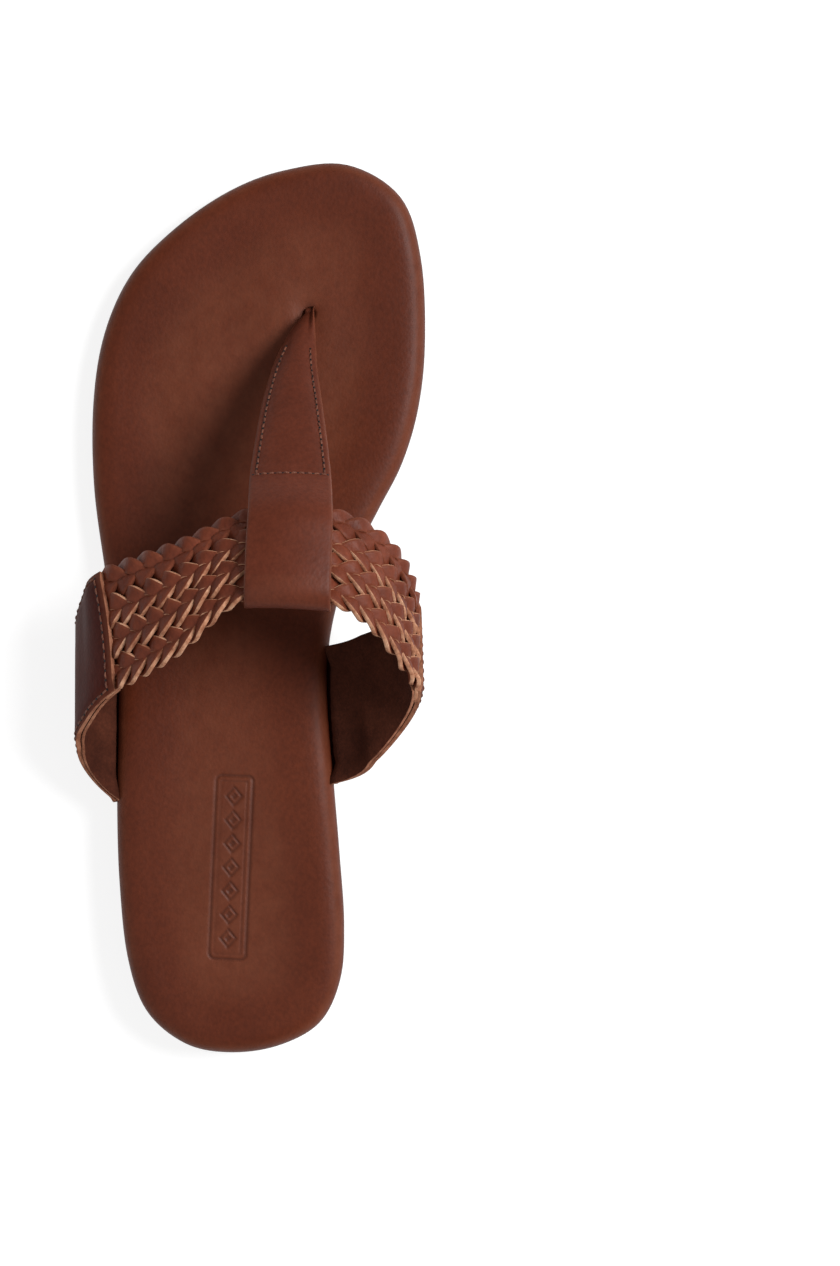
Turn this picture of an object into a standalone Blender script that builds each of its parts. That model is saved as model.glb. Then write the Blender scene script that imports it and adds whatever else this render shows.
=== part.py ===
import math

import bmesh
import bpy
import numpy as np
from mathutils import Vector

# The sandal is drawn in millimetres from the back of the heel, then moved to its frame in metres:
# +X to the big toe's side, +Y to the toes, +Z up, origin at the middle of the underside.
MM = 0.001
CENTRE = (2.84, 127.15)

# sole layers, heights above the ground at the ball
OUTSOLE_TOP = 3.5
MARGIN = (3.8, 5.2)
BOARD = (5.5, 7.7)
CUSHION = (8.0, 10.6)
COVER_TOP = 12.1
HEEL_LIFT = 6.0
TOE_SPRING = 4.5
LASTING_INSET = 12.0
OUTLINE = [
    (1, 0), (15, 2.4), (26.8, 9.5), (32.2, 22), (32.6, 38), (30.4, 58), (27.6, 80), (24.8, 103),
    (25, 121), (29.2, 139), (36.8, 156), (43.4, 170.5), (47.4, 187), (48.4, 206), (46.2, 229),
    (39.6, 246), (24, 254.3), (6, 252), (-9.5, 245.5), (-24.5, 234.5), (-36.6, 221), (-43.6, 204),
    (-46, 184), (-44.8, 160), (-40.6, 136), (-36, 113), (-34.2, 90), (-33.4, 68), (-31.8, 47),
    (-28.6, 26), (-22.6, 11), (-11.5, 2.2),
]

# the bend across the ball of the foot
BALL_Y = 180.0
BALL_GAP = 0.5

# strap from the outer side to the inner side: rear edge and front edge of each station
STRAP = [
    ((-42.6, 85, 25), (-44.4, 121, 22)),
    ((-39.4, 94, 34), (-42.0, 129, 30)),
    ((-31.2, 102.5, 42.5), (-37.3, 134.7, 36.5)),
    ((-14, 113.2, 54), (-16, 142.9, 47.5)),
    ((1, 127, 60.2), (0.6, 151.3, 52)),
    ((15, 129.3, 62), (14.5, 154, 54)),
    ((28, 128, 60.8), (29, 152.4, 52)),
    ((37.5, 122.3, 56.4), (40.3, 146.6, 46.5)),
    ((46, 112.8, 50), (46.6, 138.4, 40)),
    ((50.2, 105.8, 42.5), (48.4, 130.6, 32.5)),
    ((47.6, 97, 33), (43.8, 124.6, 23.5)),
    ((38.6, 84.8, 24), (34.2, 120.2, 17.5)),
]
LATERAL_FOOT = (71.0, 126.0)
MEDIAL_FOOT = (76.0, 117.0)
LINING_THICK = 1.0
QUARTER_THICK = 1.4
LACE_GAP = 1.7
STRAP_CROWN = 1.5

# plaits: one unit of three laces, repeated side by side
PLAITS = 4
LACE_THICK = 0.65
LACE_WIDE = 2.2
PLAIT_PITCH = 15.6
PLAIT_WAVE = (1.136, 0.136)
PLAIT_LIFT = (1.094, 0.570)
PLAIT_ROLL = (-2.0, 1.845)
LACE_TUCK = 7.0
LIFT = 1.17

# T-strap, top leaf from the toe post back to the plaits: centre x, y, z, width and crown
T_PATH = [
    (14.0, 208.9, 16.6, 4.6, 1.8), (13.1, 203.5, 21.0, 8.6, 2.6), (12.4, 194.5, 28.4, 13.2, 2.6),
    (12.5, 184, 36.0, 16.8, 2.4), (13.1, 173, 43.6, 19.8, 2.1), (13.7, 163, 50.6, 22.0, 1.8),
]
T_THICK = 1.3
T_LEAF_GAP = 0.3
T_CLEAR = 3.3
POST = (14.1, 212.2)
THREAD_WIDE = 0.7
THREAD_RISE = 0.45
SEAM_INSET = 1.9


def smooth(x):
    x = np.clip(x, 0.0, 1.0)
    return x * x * (3 - 2 * x)


def base(y):
    """Height of the outsole's underside over the ground."""
    y = np.asarray(y, float)
    return HEEL_LIFT * (1 - smooth((y - 68) / 62)) + TOE_SPRING * np.clip((y - 198) / 57, 0, 1) ** 2


def spline(points, t):
    """Catmull-Rom through the points, at parameters t counted in points."""
    p = np.asarray(points, float)
    p = np.concatenate([[2 * p[0] - p[1]], p, [2 * p[-1] - p[-2]]])
    t = np.clip(np.asarray(t, float), 0, len(points) - 1 - 1e-9)
    i = t.astype(int)
    f = (t - i)[:, None]
    a, b, c, d = p[i], p[i + 1], p[i + 2], p[i + 3]
    return 0.5 * (2 * b + (c - a) * f + (2 * a - 5 * b + 4 * c - d) * f**2 + (3 * b - a - 3 * c + d) * f**3)


def outline(inset, per_point=2):
    """The sole's outline moved inwards by the inset, anticlockwise from the back of the heel."""
    n = len(OUTLINE)
    closed = OUTLINE[-2:] + OUTLINE + OUTLINE[:3]
    ring = spline(closed, 2 + np.arange(n * per_point) / per_point)
    along = np.roll(ring, -1, axis=0) - np.roll(ring, 1, axis=0)
    along /= np.linalg.norm(along, axis=1)[:, None]
    return ring + inset * np.stack([-along[:, 1], along[:, 0]], axis=1)


def place(points):
    """Drawing millimetres to the part's own metres."""
    return (np.asarray(points, float) - (CENTRE[0], CENTRE[1], 0)) * MM


def collection(name):
    made = bpy.data.collections.new(name)
    bpy.context.scene.collection.children.link(made)
    return made


def material(name, colour, roughness):
    made = bpy.data.materials.new(name)
    made.use_nodes = True
    shader = made.node_tree.nodes["Principled BSDF"]
    shader.inputs["Base Color"].default_value = (*colour, 1)
    shader.inputs["Roughness"].default_value = roughness
    made.diffuse_color = (*colour, 1)
    return made


def add(name, points, faces, where, look=None):
    mesh = bpy.data.meshes.new(name)
    mesh.from_pydata([tuple(p) for p in place(points)], [], [tuple(map(int, f)) for f in faces])
    mesh.update()
    obj = bpy.data.objects.new(name, mesh)
    where.objects.link(obj)
    if look:
        own = look.copy()
        own.name = name
        mesh.materials.append(own)
    if where.name == "cutters":
        obj.hide_render = True
        obj.display_type = "WIRE"
    return obj


def stack(name, rings, where, look=None):
    """A closed body through rings of the outline, each an inset and a height."""
    loops = [outline(inset) for inset, height in rings]
    count = len(loops[0])
    points = [(x, y, height) for loop, (inset, height) in zip(loops, rings) for x, y in loop]
    faces = [list(range(count))[::-1], list(range((len(rings) - 1) * count, len(rings) * count))]
    for level in range(len(rings) - 1):
        for i in range(count):
            j = (i + 1) % count
            low, high = level * count, (level + 1) * count
            faces.append([low + i, low + j, high + j, high + i])
    return add(name, points, faces, where, look)


def block(name, low, high, where):
    x0, y0, z0 = low
    x1, y1, z1 = high
    points = [(x, y, z) for z in (z0, z1) for x, y in ((x0, y0), (x1, y0), (x1, y1), (x0, y1))]
    faces = [(3, 2, 1, 0), (4, 5, 6, 7), (0, 1, 5, 4), (1, 2, 6, 5), (2, 3, 7, 6), (3, 0, 4, 7)]
    return add(name, points, faces, where)


def boolean(obj, cutter, operation="DIFFERENCE"):
    modifier = obj.modifiers.new(cutter.name, "BOOLEAN")
    modifier.operation = operation
    modifier.solver = "EXACT"
    modifier.object = cutter


def settle(obj):
    """Applies the modifiers, cuts the mesh across at the stations and bends it to the sole's profile."""
    graph = bpy.context.evaluated_depsgraph_get()
    mesh = bpy.data.meshes.new_from_object(obj.evaluated_get(graph))
    obj.modifiers.clear()
    work = bmesh.new()
    work.from_mesh(mesh)
    for y in (70, 79, 88, 97, 106, 115, 124, 131, 199, 210, 221, 232, 243):
        where = Vector(place((0, y, 0)))
        bmesh.ops.bisect_plane(work, geom=work.verts[:] + work.edges[:] + work.faces[:], dist=1e-7,
                               plane_co=where, plane_no=(0, 1, 0))
    for vertex in work.verts:
        vertex.co.z += float(base(vertex.co.y / MM + CENTRE[1])) * MM
    bmesh.ops.remove_doubles(work, verts=work.verts[:], dist=2e-6)
    bmesh.ops.triangulate(work, faces=work.faces[:])
    work.to_mesh(mesh)
    work.free()
    name = obj.data.name
    old = obj.data
    obj.data = mesh
    bpy.data.meshes.remove(old)
    mesh.name = name


def sole(shown, cutters, looks):
    """Each full-length layer is made whole, then kept in a rear and a front piece."""
    ball = BALL_GAP / 2
    rear = block("rear_space", (-90, -30, -20), (90, BALL_Y - ball, 60), cutters)
    fore = block("fore_space", (-90, BALL_Y + ball, -20), (90, 290, 60), cutters)
    inside = stack("cover_inside", [(LASTING_INSET, MARGIN[0] - 1.5), (LASTING_INSET, MARGIN[1]),
                   (1.3, MARGIN[1]), (1.3, 8.3), (2.4, 10.0), (3.9, CUSHION[1] + 0.3)], cutters)
    notches = [
        block("outer_notch", (-60, LATERAL_FOOT[0] - 0.6, 2), (-10, LATERAL_FOOT[1] + 0.6, 5.5), cutters),
        block("inner_notch", (0, MEDIAL_FOOT[0] - 0.6, 2), (60, MEDIAL_FOOT[1] + 0.6, 5.5), cutters),
    ]
    slot = block("post_slot", (POST[0] - 2.3, POST[1] - 3.2, 5.3), (POST[0] + 2.3, POST[1] + 3.2, 14), cutters)
    tail = block("tail_recess", (POST[0] - 7.3, POST[1] - 9.3, 2), (POST[0] + 7.3, POST[1] + 9.3, 5.4), cutters)
    grooves = [block(f"tread_{y}", (-70, y, -3), (70, y + 1.8, 1.0), cutters)
               for y in (142, 154, 166, 192, 204, 216, 228)]
    lift_grooves = [block(f"lift_tread_{y}", (-70, y, -9), (70, y + 1.8, -HEEL_LIFT + 1.0), cutters)
                    for y in (14, 26, 38, 50)]
    breast = block("breast", (-70, 63, -20), (70, 290, 20), cutters)
    layers = {
        "outsole": ([(2.0, 0.0), (1.2, 0.8), (1.0, OUTSOLE_TOP)], "rubber", grooves),
        "bottom_filler": ([(LASTING_INSET + 0.3, MARGIN[0]), (LASTING_INSET + 0.3, MARGIN[1])], "cork", [tail]),
        "insole_board": ([(1.6, BOARD[0]), (1.6, BOARD[1])], "board", [slot]),
        "foam_cushion": ([(1.6, CUSHION[0]), (2.7, 9.7), (4.2, CUSHION[1])], "foam", [slot]),
        "insole_cover": ([(0.3, MARGIN[0]), (0.0, 4.6), (0.0, 8.2), (0.9, 10.4), (2.6, 11.7), (5.2, COVER_TOP)],
                         "leather", [inside, slot] + notches),
    }
    for layer, (rings, look, cuts) in layers.items():
        for side, space in (("rear", rear), ("fore", fore)):
            obj = stack(f"{layer}_{side}", rings, shown, looks[look])
            boolean(obj, space, "INTERSECT")
            for cutter in cuts:
                y = [(obj.matrix_world @ v.co).y / MM + CENTRE[1] for v in cutter.data.vertices]
                reach = (min(y) < BALL_Y) if side == "rear" else (max(y) > BALL_Y)
                if reach:
                    boolean(obj, cutter)
            settle(obj)
    lift = stack("heel_lift", [(2.2, -HEEL_LIFT), (1.6, -HEEL_LIFT + 0.8), (1.3, -0.3)], shown, looks["rubber"])
    boolean(lift, breast)
    for cutter in lift_grooves:
        boolean(lift, cutter)
    settle(lift)


def side_point(side, y, out, z):
    """A point beside the sole's edge, on the outer (-1) or inner (+1) side, this far out from it."""
    ring = outline(0.0, 8)
    shifted = outline(-out, 8)
    near = ring[:, 0] * side > 0
    index = np.argmin(np.abs(ring[:, 1] - y) + 1e3 * ~near)
    x, yy = shifted[index]
    return x, y, z + float(base(y))


def stations(v):
    """Points along the whole strap, from the outer side's foot to the inner side's, at this share of its width."""
    found = []
    lateral = LATERAL_FOOT[0] + v * (LATERAL_FOOT[1] - LATERAL_FOOT[0])
    medial = MEDIAL_FOOT[0] + v * (MEDIAL_FOOT[1] - MEDIAL_FOOT[0])
    for out, z in ((1.7, 6.3), (2.1, 10.5)):
        found.append(side_point(-1, lateral, out, z))
    for rear, front in STRAP:
        found.append(tuple(np.array(rear) * (1 - v) + np.array(front) * v))
    for out, z in ((3.0, 10.5), (1.9, 6.3)):
        found.append(side_point(1, medial, out, z))
    return found


def strap_grid(ts, vs):
    """The strap's middle surface and its outward normals at station parameters ts and width shares vs."""
    grid = np.stack([spline(stations(v), ts) for v in vs], axis=1)
    fine = 1e-3
    along = np.stack([spline(stations(v), ts + fine) - spline(stations(v), ts - fine) for v in vs], axis=1)
    across = np.stack([spline(stations(min(v + 0.02, 1)), ts) - spline(stations(max(v - 0.02, 0)), ts)
                       for v in vs], axis=1)
    normal = np.cross(along, across)
    normal /= np.linalg.norm(normal, axis=2)[:, :, None]
    crown = STRAP_CROWN * smooth((ts - 3) / 2) * smooth((10 - ts) / 2)
    bulge = 1 - (2 * np.asarray(vs) - 1) ** 2
    return grid + normal * (crown[:, None] * bulge[None, :])[:, :, None], normal


def sheet(name, middle, normal, thick, shown, look):
    """A leather sheet of even thickness over a grid of points."""
    rows, columns = middle.shape[:2]
    low, high = middle - normal * thick / 2, middle + normal * thick / 2
    points = np.concatenate([low.reshape(-1, 3), high.reshape(-1, 3)])
    top = rows * columns
    faces = []
    for r in range(rows - 1):
        for c in range(columns - 1):
            a, b, d, e = r * columns + c, r * columns + c + 1, (r + 1) * columns + c + 1, (r + 1) * columns + c
            faces += [(a, b, d, e), (top + e, top + d, top + b, top + a)]
    edge = [c for c in range(columns)] + [r * columns + columns - 1 for r in range(1, rows)]
    edge += [(rows - 1) * columns + c for c in range(columns - 2, -1, -1)]
    edge += [r * columns for r in range(rows - 2, 0, -1)]
    for a, b in zip(edge, edge[1:] + edge[:1]):
        faces.append((b, a, top + a, top + b))
    obj = add(name, points, faces, shown, look)
    work = bmesh.new()
    work.from_mesh(obj.data)
    bmesh.ops.recalc_face_normals(work, faces=work.faces[:])
    bmesh.ops.triangulate(work, faces=work.faces[:])
    work.to_mesh(obj.data)
    work.free()
    return obj


def quarters(shown, looks):
    """On each side a lining and an outer leather, with room between them for the laces' ends."""
    vs = np.linspace(0, 1, 7)
    last = len(STRAP) + 3
    for side, first, top in (("outer", 0.0, 4.0), ("inner", float(last), 11.0)):
        sign = -1 if side == "outer" else 1
        ts = np.linspace(first, top, 11)
        middle, normal = strap_grid(ts, vs)
        up = smooth(np.abs(ts - first) / abs(top - first) * 1.6 - 0.35)[:, None, None]
        gap = T_LEAF_GAP + (LACE_GAP - T_LEAF_GAP) * up
        inward = (gap + LINING_THICK) / 2
        outward = (gap + QUARTER_THICK) / 2
        sheet(f"{side}_quarter_lining", middle - normal * inward, normal, LINING_THICK, shown, looks["lining"])
        over, leather_normal = middle + normal * outward, normal
        span = LATERAL_FOOT if sign < 0 else MEDIAL_FOOT
        margin, margin_normal = [], []
        for out, z, tilt in ((-11.4, 4.5, 0.0), (-5.5, 4.5, 0.0), (0.4, 4.5, 0.15)):
            row = [side_point(sign, span[0] + v * (span[1] - span[0]), out, z) for v in vs]
            margin.append(row)
            margin_normal.append([(sign * tilt, 0, -math.sqrt(1 - tilt * tilt))] * len(vs))
        over = np.concatenate([np.array(margin), over])
        leather_normal = np.concatenate([np.array(margin_normal), leather_normal])
        sheet(f"{side}_quarter", over, leather_normal, QUARTER_THICK, shown, looks["leather"])


def laces(shown, looks):
    """Twelve laces in four plaits. The ends run side by side between a quarter and its lining."""
    fine = np.linspace(3.0, 12.0, 721)
    middle = strap_grid(fine, [0.5])[0][:, 0]
    length = np.concatenate([[0], np.cumsum(np.linalg.norm(np.diff(middle, axis=0), axis=1))])
    start = np.interp(4.0, fine, length) - LACE_TUCK
    end = np.interp(11.0, fine, length) + LACE_TUCK
    free = end - start - 2 * LACE_TUCK - 3
    turns = round(free / PLAIT_PITCH * 6) / 6
    steps = round(turns * 12)
    begin, finish = start + LACE_TUCK + 1.5, end - LACE_TUCK - 1.5
    at = np.concatenate([np.linspace(start, begin, 5)[:-1], np.linspace(begin, finish, steps + 1),
                         np.linspace(finish, end, 5)[1:]])
    ts = np.interp(at, length, fine)
    into = np.minimum(at - start, end - at) - LACE_TUCK
    done = np.clip((at - begin) / free, 0, 1)
    phase = 2 * math.pi * turns * done
    braided = smooth((into - 0.5) / 3.0)
    for plait in range(PLAITS):
        v = (plait + 0.5) / PLAITS
        centre, normal = strap_grid(ts, [v])
        centre, normal = centre[:, 0], normal[:, 0]
        run = np.gradient(centre, at, axis=0)
        across = np.cross(normal, run)
        across /= np.linalg.norm(across, axis=1)[:, None]
        edges = strap_grid(ts, [plait / PLAITS, (plait + 1) / PLAITS])[0]
        width = ((edges[:, 1] - edges[:, 0]) * across).sum(1)
        across *= np.sign(width)[:, None]
        width = np.abs(width) * 0.93
        wide = np.minimum(LACE_WIDE, 0.38 * width)
        for lace in range(3):
            turn = phase + lace * 2 * math.pi / 3
            reach = (width - wide) / 2
            wave = reach * (PLAIT_WAVE[0] * np.sin(turn) + PLAIT_WAVE[1] * np.sin(3 * turn))
            lift = PLAIT_LIFT[0] * np.sin(2 * turn) + PLAIT_LIFT[1] * np.sin(4 * turn)
            lift = lift * np.clip(width / 6.7, 1, 1.25) * LIFT
            slope = PLAIT_ROLL[0] * np.cos(turn) + PLAIT_ROLL[1] * np.cos(3 * turn)
            lanes = np.sin(turn[[0, -1]]) / math.sin(math.pi / 3)
            lane = np.where(done < 0.5, lanes[0], lanes[1]) * width * 0.32
            side = wave * braided + lane * (1 - braided)
            path = centre + across * side[:, None] + normal * (lift * braided)[:, None]
            along = np.gradient(path, at, axis=0)
            along /= np.linalg.norm(along, axis=1)[:, None]
            flat = np.cross(normal, along)
            flat *= np.sign((flat * across).sum(1))[:, None]
            flat /= np.linalg.norm(flat, axis=1)[:, None]
            flat = flat + normal * (slope * braided)[:, None]
            flat -= (flat * along).sum(1)[:, None] * along
            flat /= np.linalg.norm(flat, axis=1)[:, None]
            out = np.cross(flat, along)
            out *= np.sign((out * normal).sum(1))[:, None]
            half = (wide / 2 * (0.8 + 0.2 * braided))[:, None]
            corners = [path + flat * half * a + out * LACE_THICK / 2 * b for a, b in ((-1, -1), (1, -1), (1, 1), (-1, 1))]
            ring = np.stack(corners, axis=1)
            tube(f"lace_{plait + 1}{'abc'[lace]}", ring, shown, looks["lace"])


def tube(name, rings, shown, look):
    """A closed body through rings of points of equal count."""
    rows, count = rings.shape[:2]
    faces = [tuple(range(count)), tuple(range((rows - 1) * count, rows * count))[::-1]]
    for r in range(rows - 1):
        for i in range(count):
            j = (i + 1) % count
            faces.append((r * count + i, (r + 1) * count + i, (r + 1) * count + j, r * count + j))
    obj = add(name, rings.reshape(-1, 3), faces, shown, look)
    work = bmesh.new()
    work.from_mesh(obj.data)
    bmesh.ops.recalc_face_normals(work, faces=work.faces[:])
    bmesh.ops.triangulate(work, faces=work.faces[:])
    work.to_mesh(obj.data)
    work.free()
    return obj


def t_strap(shown, looks):
    """One long strap, folded round the plaits with its two leaves meeting at the toe post."""
    mid = strap_grid(np.array([7.0]), [0.0, 0.5, 1.0])
    rear, front = mid[0][0, 0], mid[0][0, 2]
    run = (front - rear) / np.linalg.norm(front - rear)
    up = np.cross((1, 0, 0), run)
    reach = np.linalg.norm(front - rear)
    clear_by = T_CLEAR + T_THICK / 2
    round_end = [(0.92, clear_by + 1.3), (0.55, clear_by + 1.55), (0.2, clear_by + 1.0), (0.03, clear_by + 0.0)]
    over = [rear + run * (reach * a) + up * h for a, h in round_end]
    back = rear - run * (T_THICK / 2 + 1.0)
    under = [rear + run * (reach * a) + up * h for a, h in ((0.03, -clear_by), (0.3, -clear_by + 0.3),
             (0.62, -clear_by + 0.35), (0.93, -clear_by - 0.1))]
    top = [np.array(p[:3]) for p in T_PATH]
    sizes = [p[3:] for p in T_PATH]
    loop_sizes = [(22.6, 1.7), (23.0, 1.7), (23.0, 1.6), (23.0, 1.5)]
    path = top + over + [back + up * 1.4, back - up * 1.4] + under
    sizes = sizes + loop_sizes + [(23.0, 1.5), (23.0, 1.5)] + loop_sizes[::-1]
    t = np.linspace(0, len(path) - 1, 3 * (len(path) - 1) + 1)
    centre = spline(path, t)
    size = spline(sizes, t)
    leaf_t = np.linspace(0, len(top) - 1, 2 * (len(top) - 1) + 1)[::-1]
    leaf = spline(top, leaf_t)
    slope = np.gradient(leaf, axis=0)
    below = np.cross((1, 0, 0), slope)
    below /= np.linalg.norm(below, axis=1)[:, None]
    leaf = leaf - below * (T_THICK + T_LEAF_GAP)
    centre = np.concatenate([centre, leaf])
    size = np.concatenate([size, spline(sizes[:len(top)], leaf_t)])
    return centre, size, up


def ribbon(name, centre, size, up, thick, shown, look, columns=5):
    along = np.gradient(centre, axis=0)
    along /= np.linalg.norm(along, axis=1)[:, None]
    side = np.array([1.0, 0, 0]) - along * along[:, :1]
    side /= np.linalg.norm(side, axis=1)[:, None]
    out = np.cross(side, along)
    rows = []
    for i in range(len(centre)):
        across = np.linspace(-1, 1, columns)
        middle = centre[i] + side[i] * across[:, None] * size[i, 0] / 2 - up * (across[:, None] ** 2) * size[i, 1]
        rows.append(np.concatenate([middle + out[i] * thick / 2, middle[::-1] - out[i] * thick / 2]))
    return tube(name, np.array(rows), shown, look)


def toe_post(shown, look):
    """The strap's folded end: a stem through the slot, opening into a flat tail under the board."""
    x, y = POST
    stem, tail = (1.6, 2.4), (6.6, 8.6)
    levels = [(tail, MARGIN[0] + 0.2), (tail, MARGIN[1] - 0.1), (stem, MARGIN[1] - 0.1), (stem, COVER_TOP + 1.4)]
    rings = []
    for (a, b), z in levels:
        turn = np.arange(12) * math.pi / 6
        round_off = 1 / (np.abs(np.cos(turn)) ** 4 + np.abs(np.sin(turn)) ** 4) ** 0.25
        rings.append([(x + a * r * math.cos(w), y + b * r * math.sin(w), z + float(base(y)))
                      for w, r in zip(turn, round_off)])
    return tube("toe_post", np.array(rings), shown, look)


def seam(name, points, normals, shown, look):
    """A line of thread lying on a surface, as a thin four-sided cord."""
    points, normals = np.asarray(points), np.asarray(normals)
    along = np.gradient(points, axis=0)
    along /= np.linalg.norm(along, axis=1)[:, None]
    side = np.cross(normals, along)
    side /= np.linalg.norm(side, axis=1)[:, None]
    middle = points + normals * THREAD_RISE
    half = THREAD_WIDE / 2
    rings = np.stack([middle + side * half, middle + normals * half, middle - side * half, middle - normals * half],
                     axis=1)
    return tube(name, rings, shown, look)


def t_seam(centre, size, up, shown, look):
    """Up one edge of the T-strap, across it in front of the plaits and down the other edge."""
    last = 3 * (len(T_PATH) - 1)
    along = np.gradient(centre, axis=0)[:last + 1]
    along /= np.linalg.norm(along, axis=1)[:, None]
    side = np.array([1.0, 0, 0]) - along * along[:, :1]
    side /= np.linalg.norm(side, axis=1)[:, None]
    out = np.cross(side, along)
    out *= np.sign(out[:, 2:3])
    centre, size = centre[:last + 1], size[:last + 1]
    share = np.clip(1 - 2 * SEAM_INSET / size[:, 0], 0.3, 1)
    rows = {}
    for sign in (-1, 1):
        rows[sign] = centre + side * (sign * share * size[:, 0] / 2)[:, None] - up * (share**2 * size[:, 1])[:, None]
        rows[sign] = rows[sign] + out * T_THICK / 2
    steps = np.linspace(-1, 1, 7)[1:-1]
    cross = [centre[-1] + side[-1] * k * share[-1] * size[-1, 0] / 2 - up * (k * share[-1]) ** 2 * size[-1, 1]
             + out[-1] * T_THICK / 2 for k in steps]
    points = np.concatenate([rows[-1][2:], cross, rows[1][2:][::-1]])
    normals = np.concatenate([out[2:], np.repeat(out[-1:], len(steps), axis=0), out[2:][::-1]])
    return seam("t_strap_thread", points, normals, shown, look)


def quarter_seam(side, shown, look):
    """Up one edge of a quarter, along below the plaits and down the other edge."""
    first, top = (2.0, 3.72) if side == "outer" else (13.0, 11.28)
    low, high = 0.06, 0.94
    ts = np.linspace(first, top, 7)
    vs = np.linspace(low, high, 8)
    grid, normal = strap_grid(ts, vs)
    out_by = (LACE_GAP + QUARTER_THICK) / 2 + QUARTER_THICK / 2
    grid = grid + normal * out_by
    points = np.concatenate([grid[:, 0], grid[-1, 1:-1], grid[::-1, -1]])
    normals = np.concatenate([normal[:, 0], normal[-1, 1:-1], normal[::-1, -1]])
    return seam(f"{side}_quarter_thread", points, normals, shown, look)


def clear():
    for obj in list(bpy.data.objects):
        bpy.data.objects.remove(obj, do_unlink=True)


clear()
shown = collection("plaited_t_strap_sandal")
cutters = collection("cutters")
looks = {
    "leather": material("leather", (0.19, 0.075, 0.045), 0.45),
    "lining": material("lining", (0.15, 0.065, 0.045), 0.8),
    "lace": material("lace", (0.26, 0.10, 0.055), 0.5),
    "rubber": material("rubber", (0.05, 0.035, 0.03), 0.7),
    "cork": material("cork", (0.45, 0.30, 0.17), 0.9),
    "board": material("board", (0.5, 0.4, 0.28), 0.9),
    "foam": material("foam", (0.75, 0.72, 0.62), 0.9),
    "thread": material("thread", (0.24, 0.11, 0.07), 0.6),
}
sole(shown, cutters, looks)
quarters(shown, looks)
laces(shown, looks)

centre, size, up = t_strap(shown, looks)
ribbon("t_strap", centre, size, up, T_THICK, shown, looks["leather"])
toe_post(shown, looks["leather"])
t_seam(centre, size, up, shown, looks["thread"])
for side in ("outer", "inner"):
    quarter_seam(side, shown, looks["thread"])
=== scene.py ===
# Left leather sandal with a plaited strap and a T-strap to the toe post.
# Everything is drawn in millimetres from the back of the heel, then moved to the frame in metres.
import bpy
import bmesh
import math
import random
import numpy as np
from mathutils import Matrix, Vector, geometry, noise


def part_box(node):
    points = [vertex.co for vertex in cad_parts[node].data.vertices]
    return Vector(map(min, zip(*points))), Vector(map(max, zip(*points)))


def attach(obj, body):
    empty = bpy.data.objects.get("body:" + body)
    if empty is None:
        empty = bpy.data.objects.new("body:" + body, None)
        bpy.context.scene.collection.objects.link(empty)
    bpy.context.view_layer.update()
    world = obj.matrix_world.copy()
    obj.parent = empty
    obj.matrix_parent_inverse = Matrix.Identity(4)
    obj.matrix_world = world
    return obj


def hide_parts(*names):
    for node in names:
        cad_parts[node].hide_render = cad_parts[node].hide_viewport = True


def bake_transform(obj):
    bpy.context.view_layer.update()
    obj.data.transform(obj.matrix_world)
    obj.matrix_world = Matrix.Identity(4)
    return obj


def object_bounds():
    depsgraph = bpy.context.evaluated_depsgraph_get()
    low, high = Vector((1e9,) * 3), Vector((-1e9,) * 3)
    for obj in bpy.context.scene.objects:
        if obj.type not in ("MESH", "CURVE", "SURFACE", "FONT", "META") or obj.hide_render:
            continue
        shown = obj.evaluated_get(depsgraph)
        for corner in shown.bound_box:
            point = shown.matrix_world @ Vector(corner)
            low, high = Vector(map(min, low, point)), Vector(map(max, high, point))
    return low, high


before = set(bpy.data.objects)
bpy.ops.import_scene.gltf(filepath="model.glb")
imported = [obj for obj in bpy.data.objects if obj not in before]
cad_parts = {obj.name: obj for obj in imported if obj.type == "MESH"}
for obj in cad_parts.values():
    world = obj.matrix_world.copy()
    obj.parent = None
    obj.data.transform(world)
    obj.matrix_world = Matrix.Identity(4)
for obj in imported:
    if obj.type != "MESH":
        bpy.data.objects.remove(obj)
cadLow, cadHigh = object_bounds()
print("frame loaded with", len(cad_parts), "nodes")

mm = 0.001
random.seed(7)
drawnPost = (14.1, 212.2)  # the toe post in the drawing
postLow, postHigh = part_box("toe_post")
shift = np.array([(postLow.x + postHigh.x) / 2 / mm - drawnPost[0],
                  (postLow.y + postHigh.y) / 2 / mm - drawnPost[1], 0.0])

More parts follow.
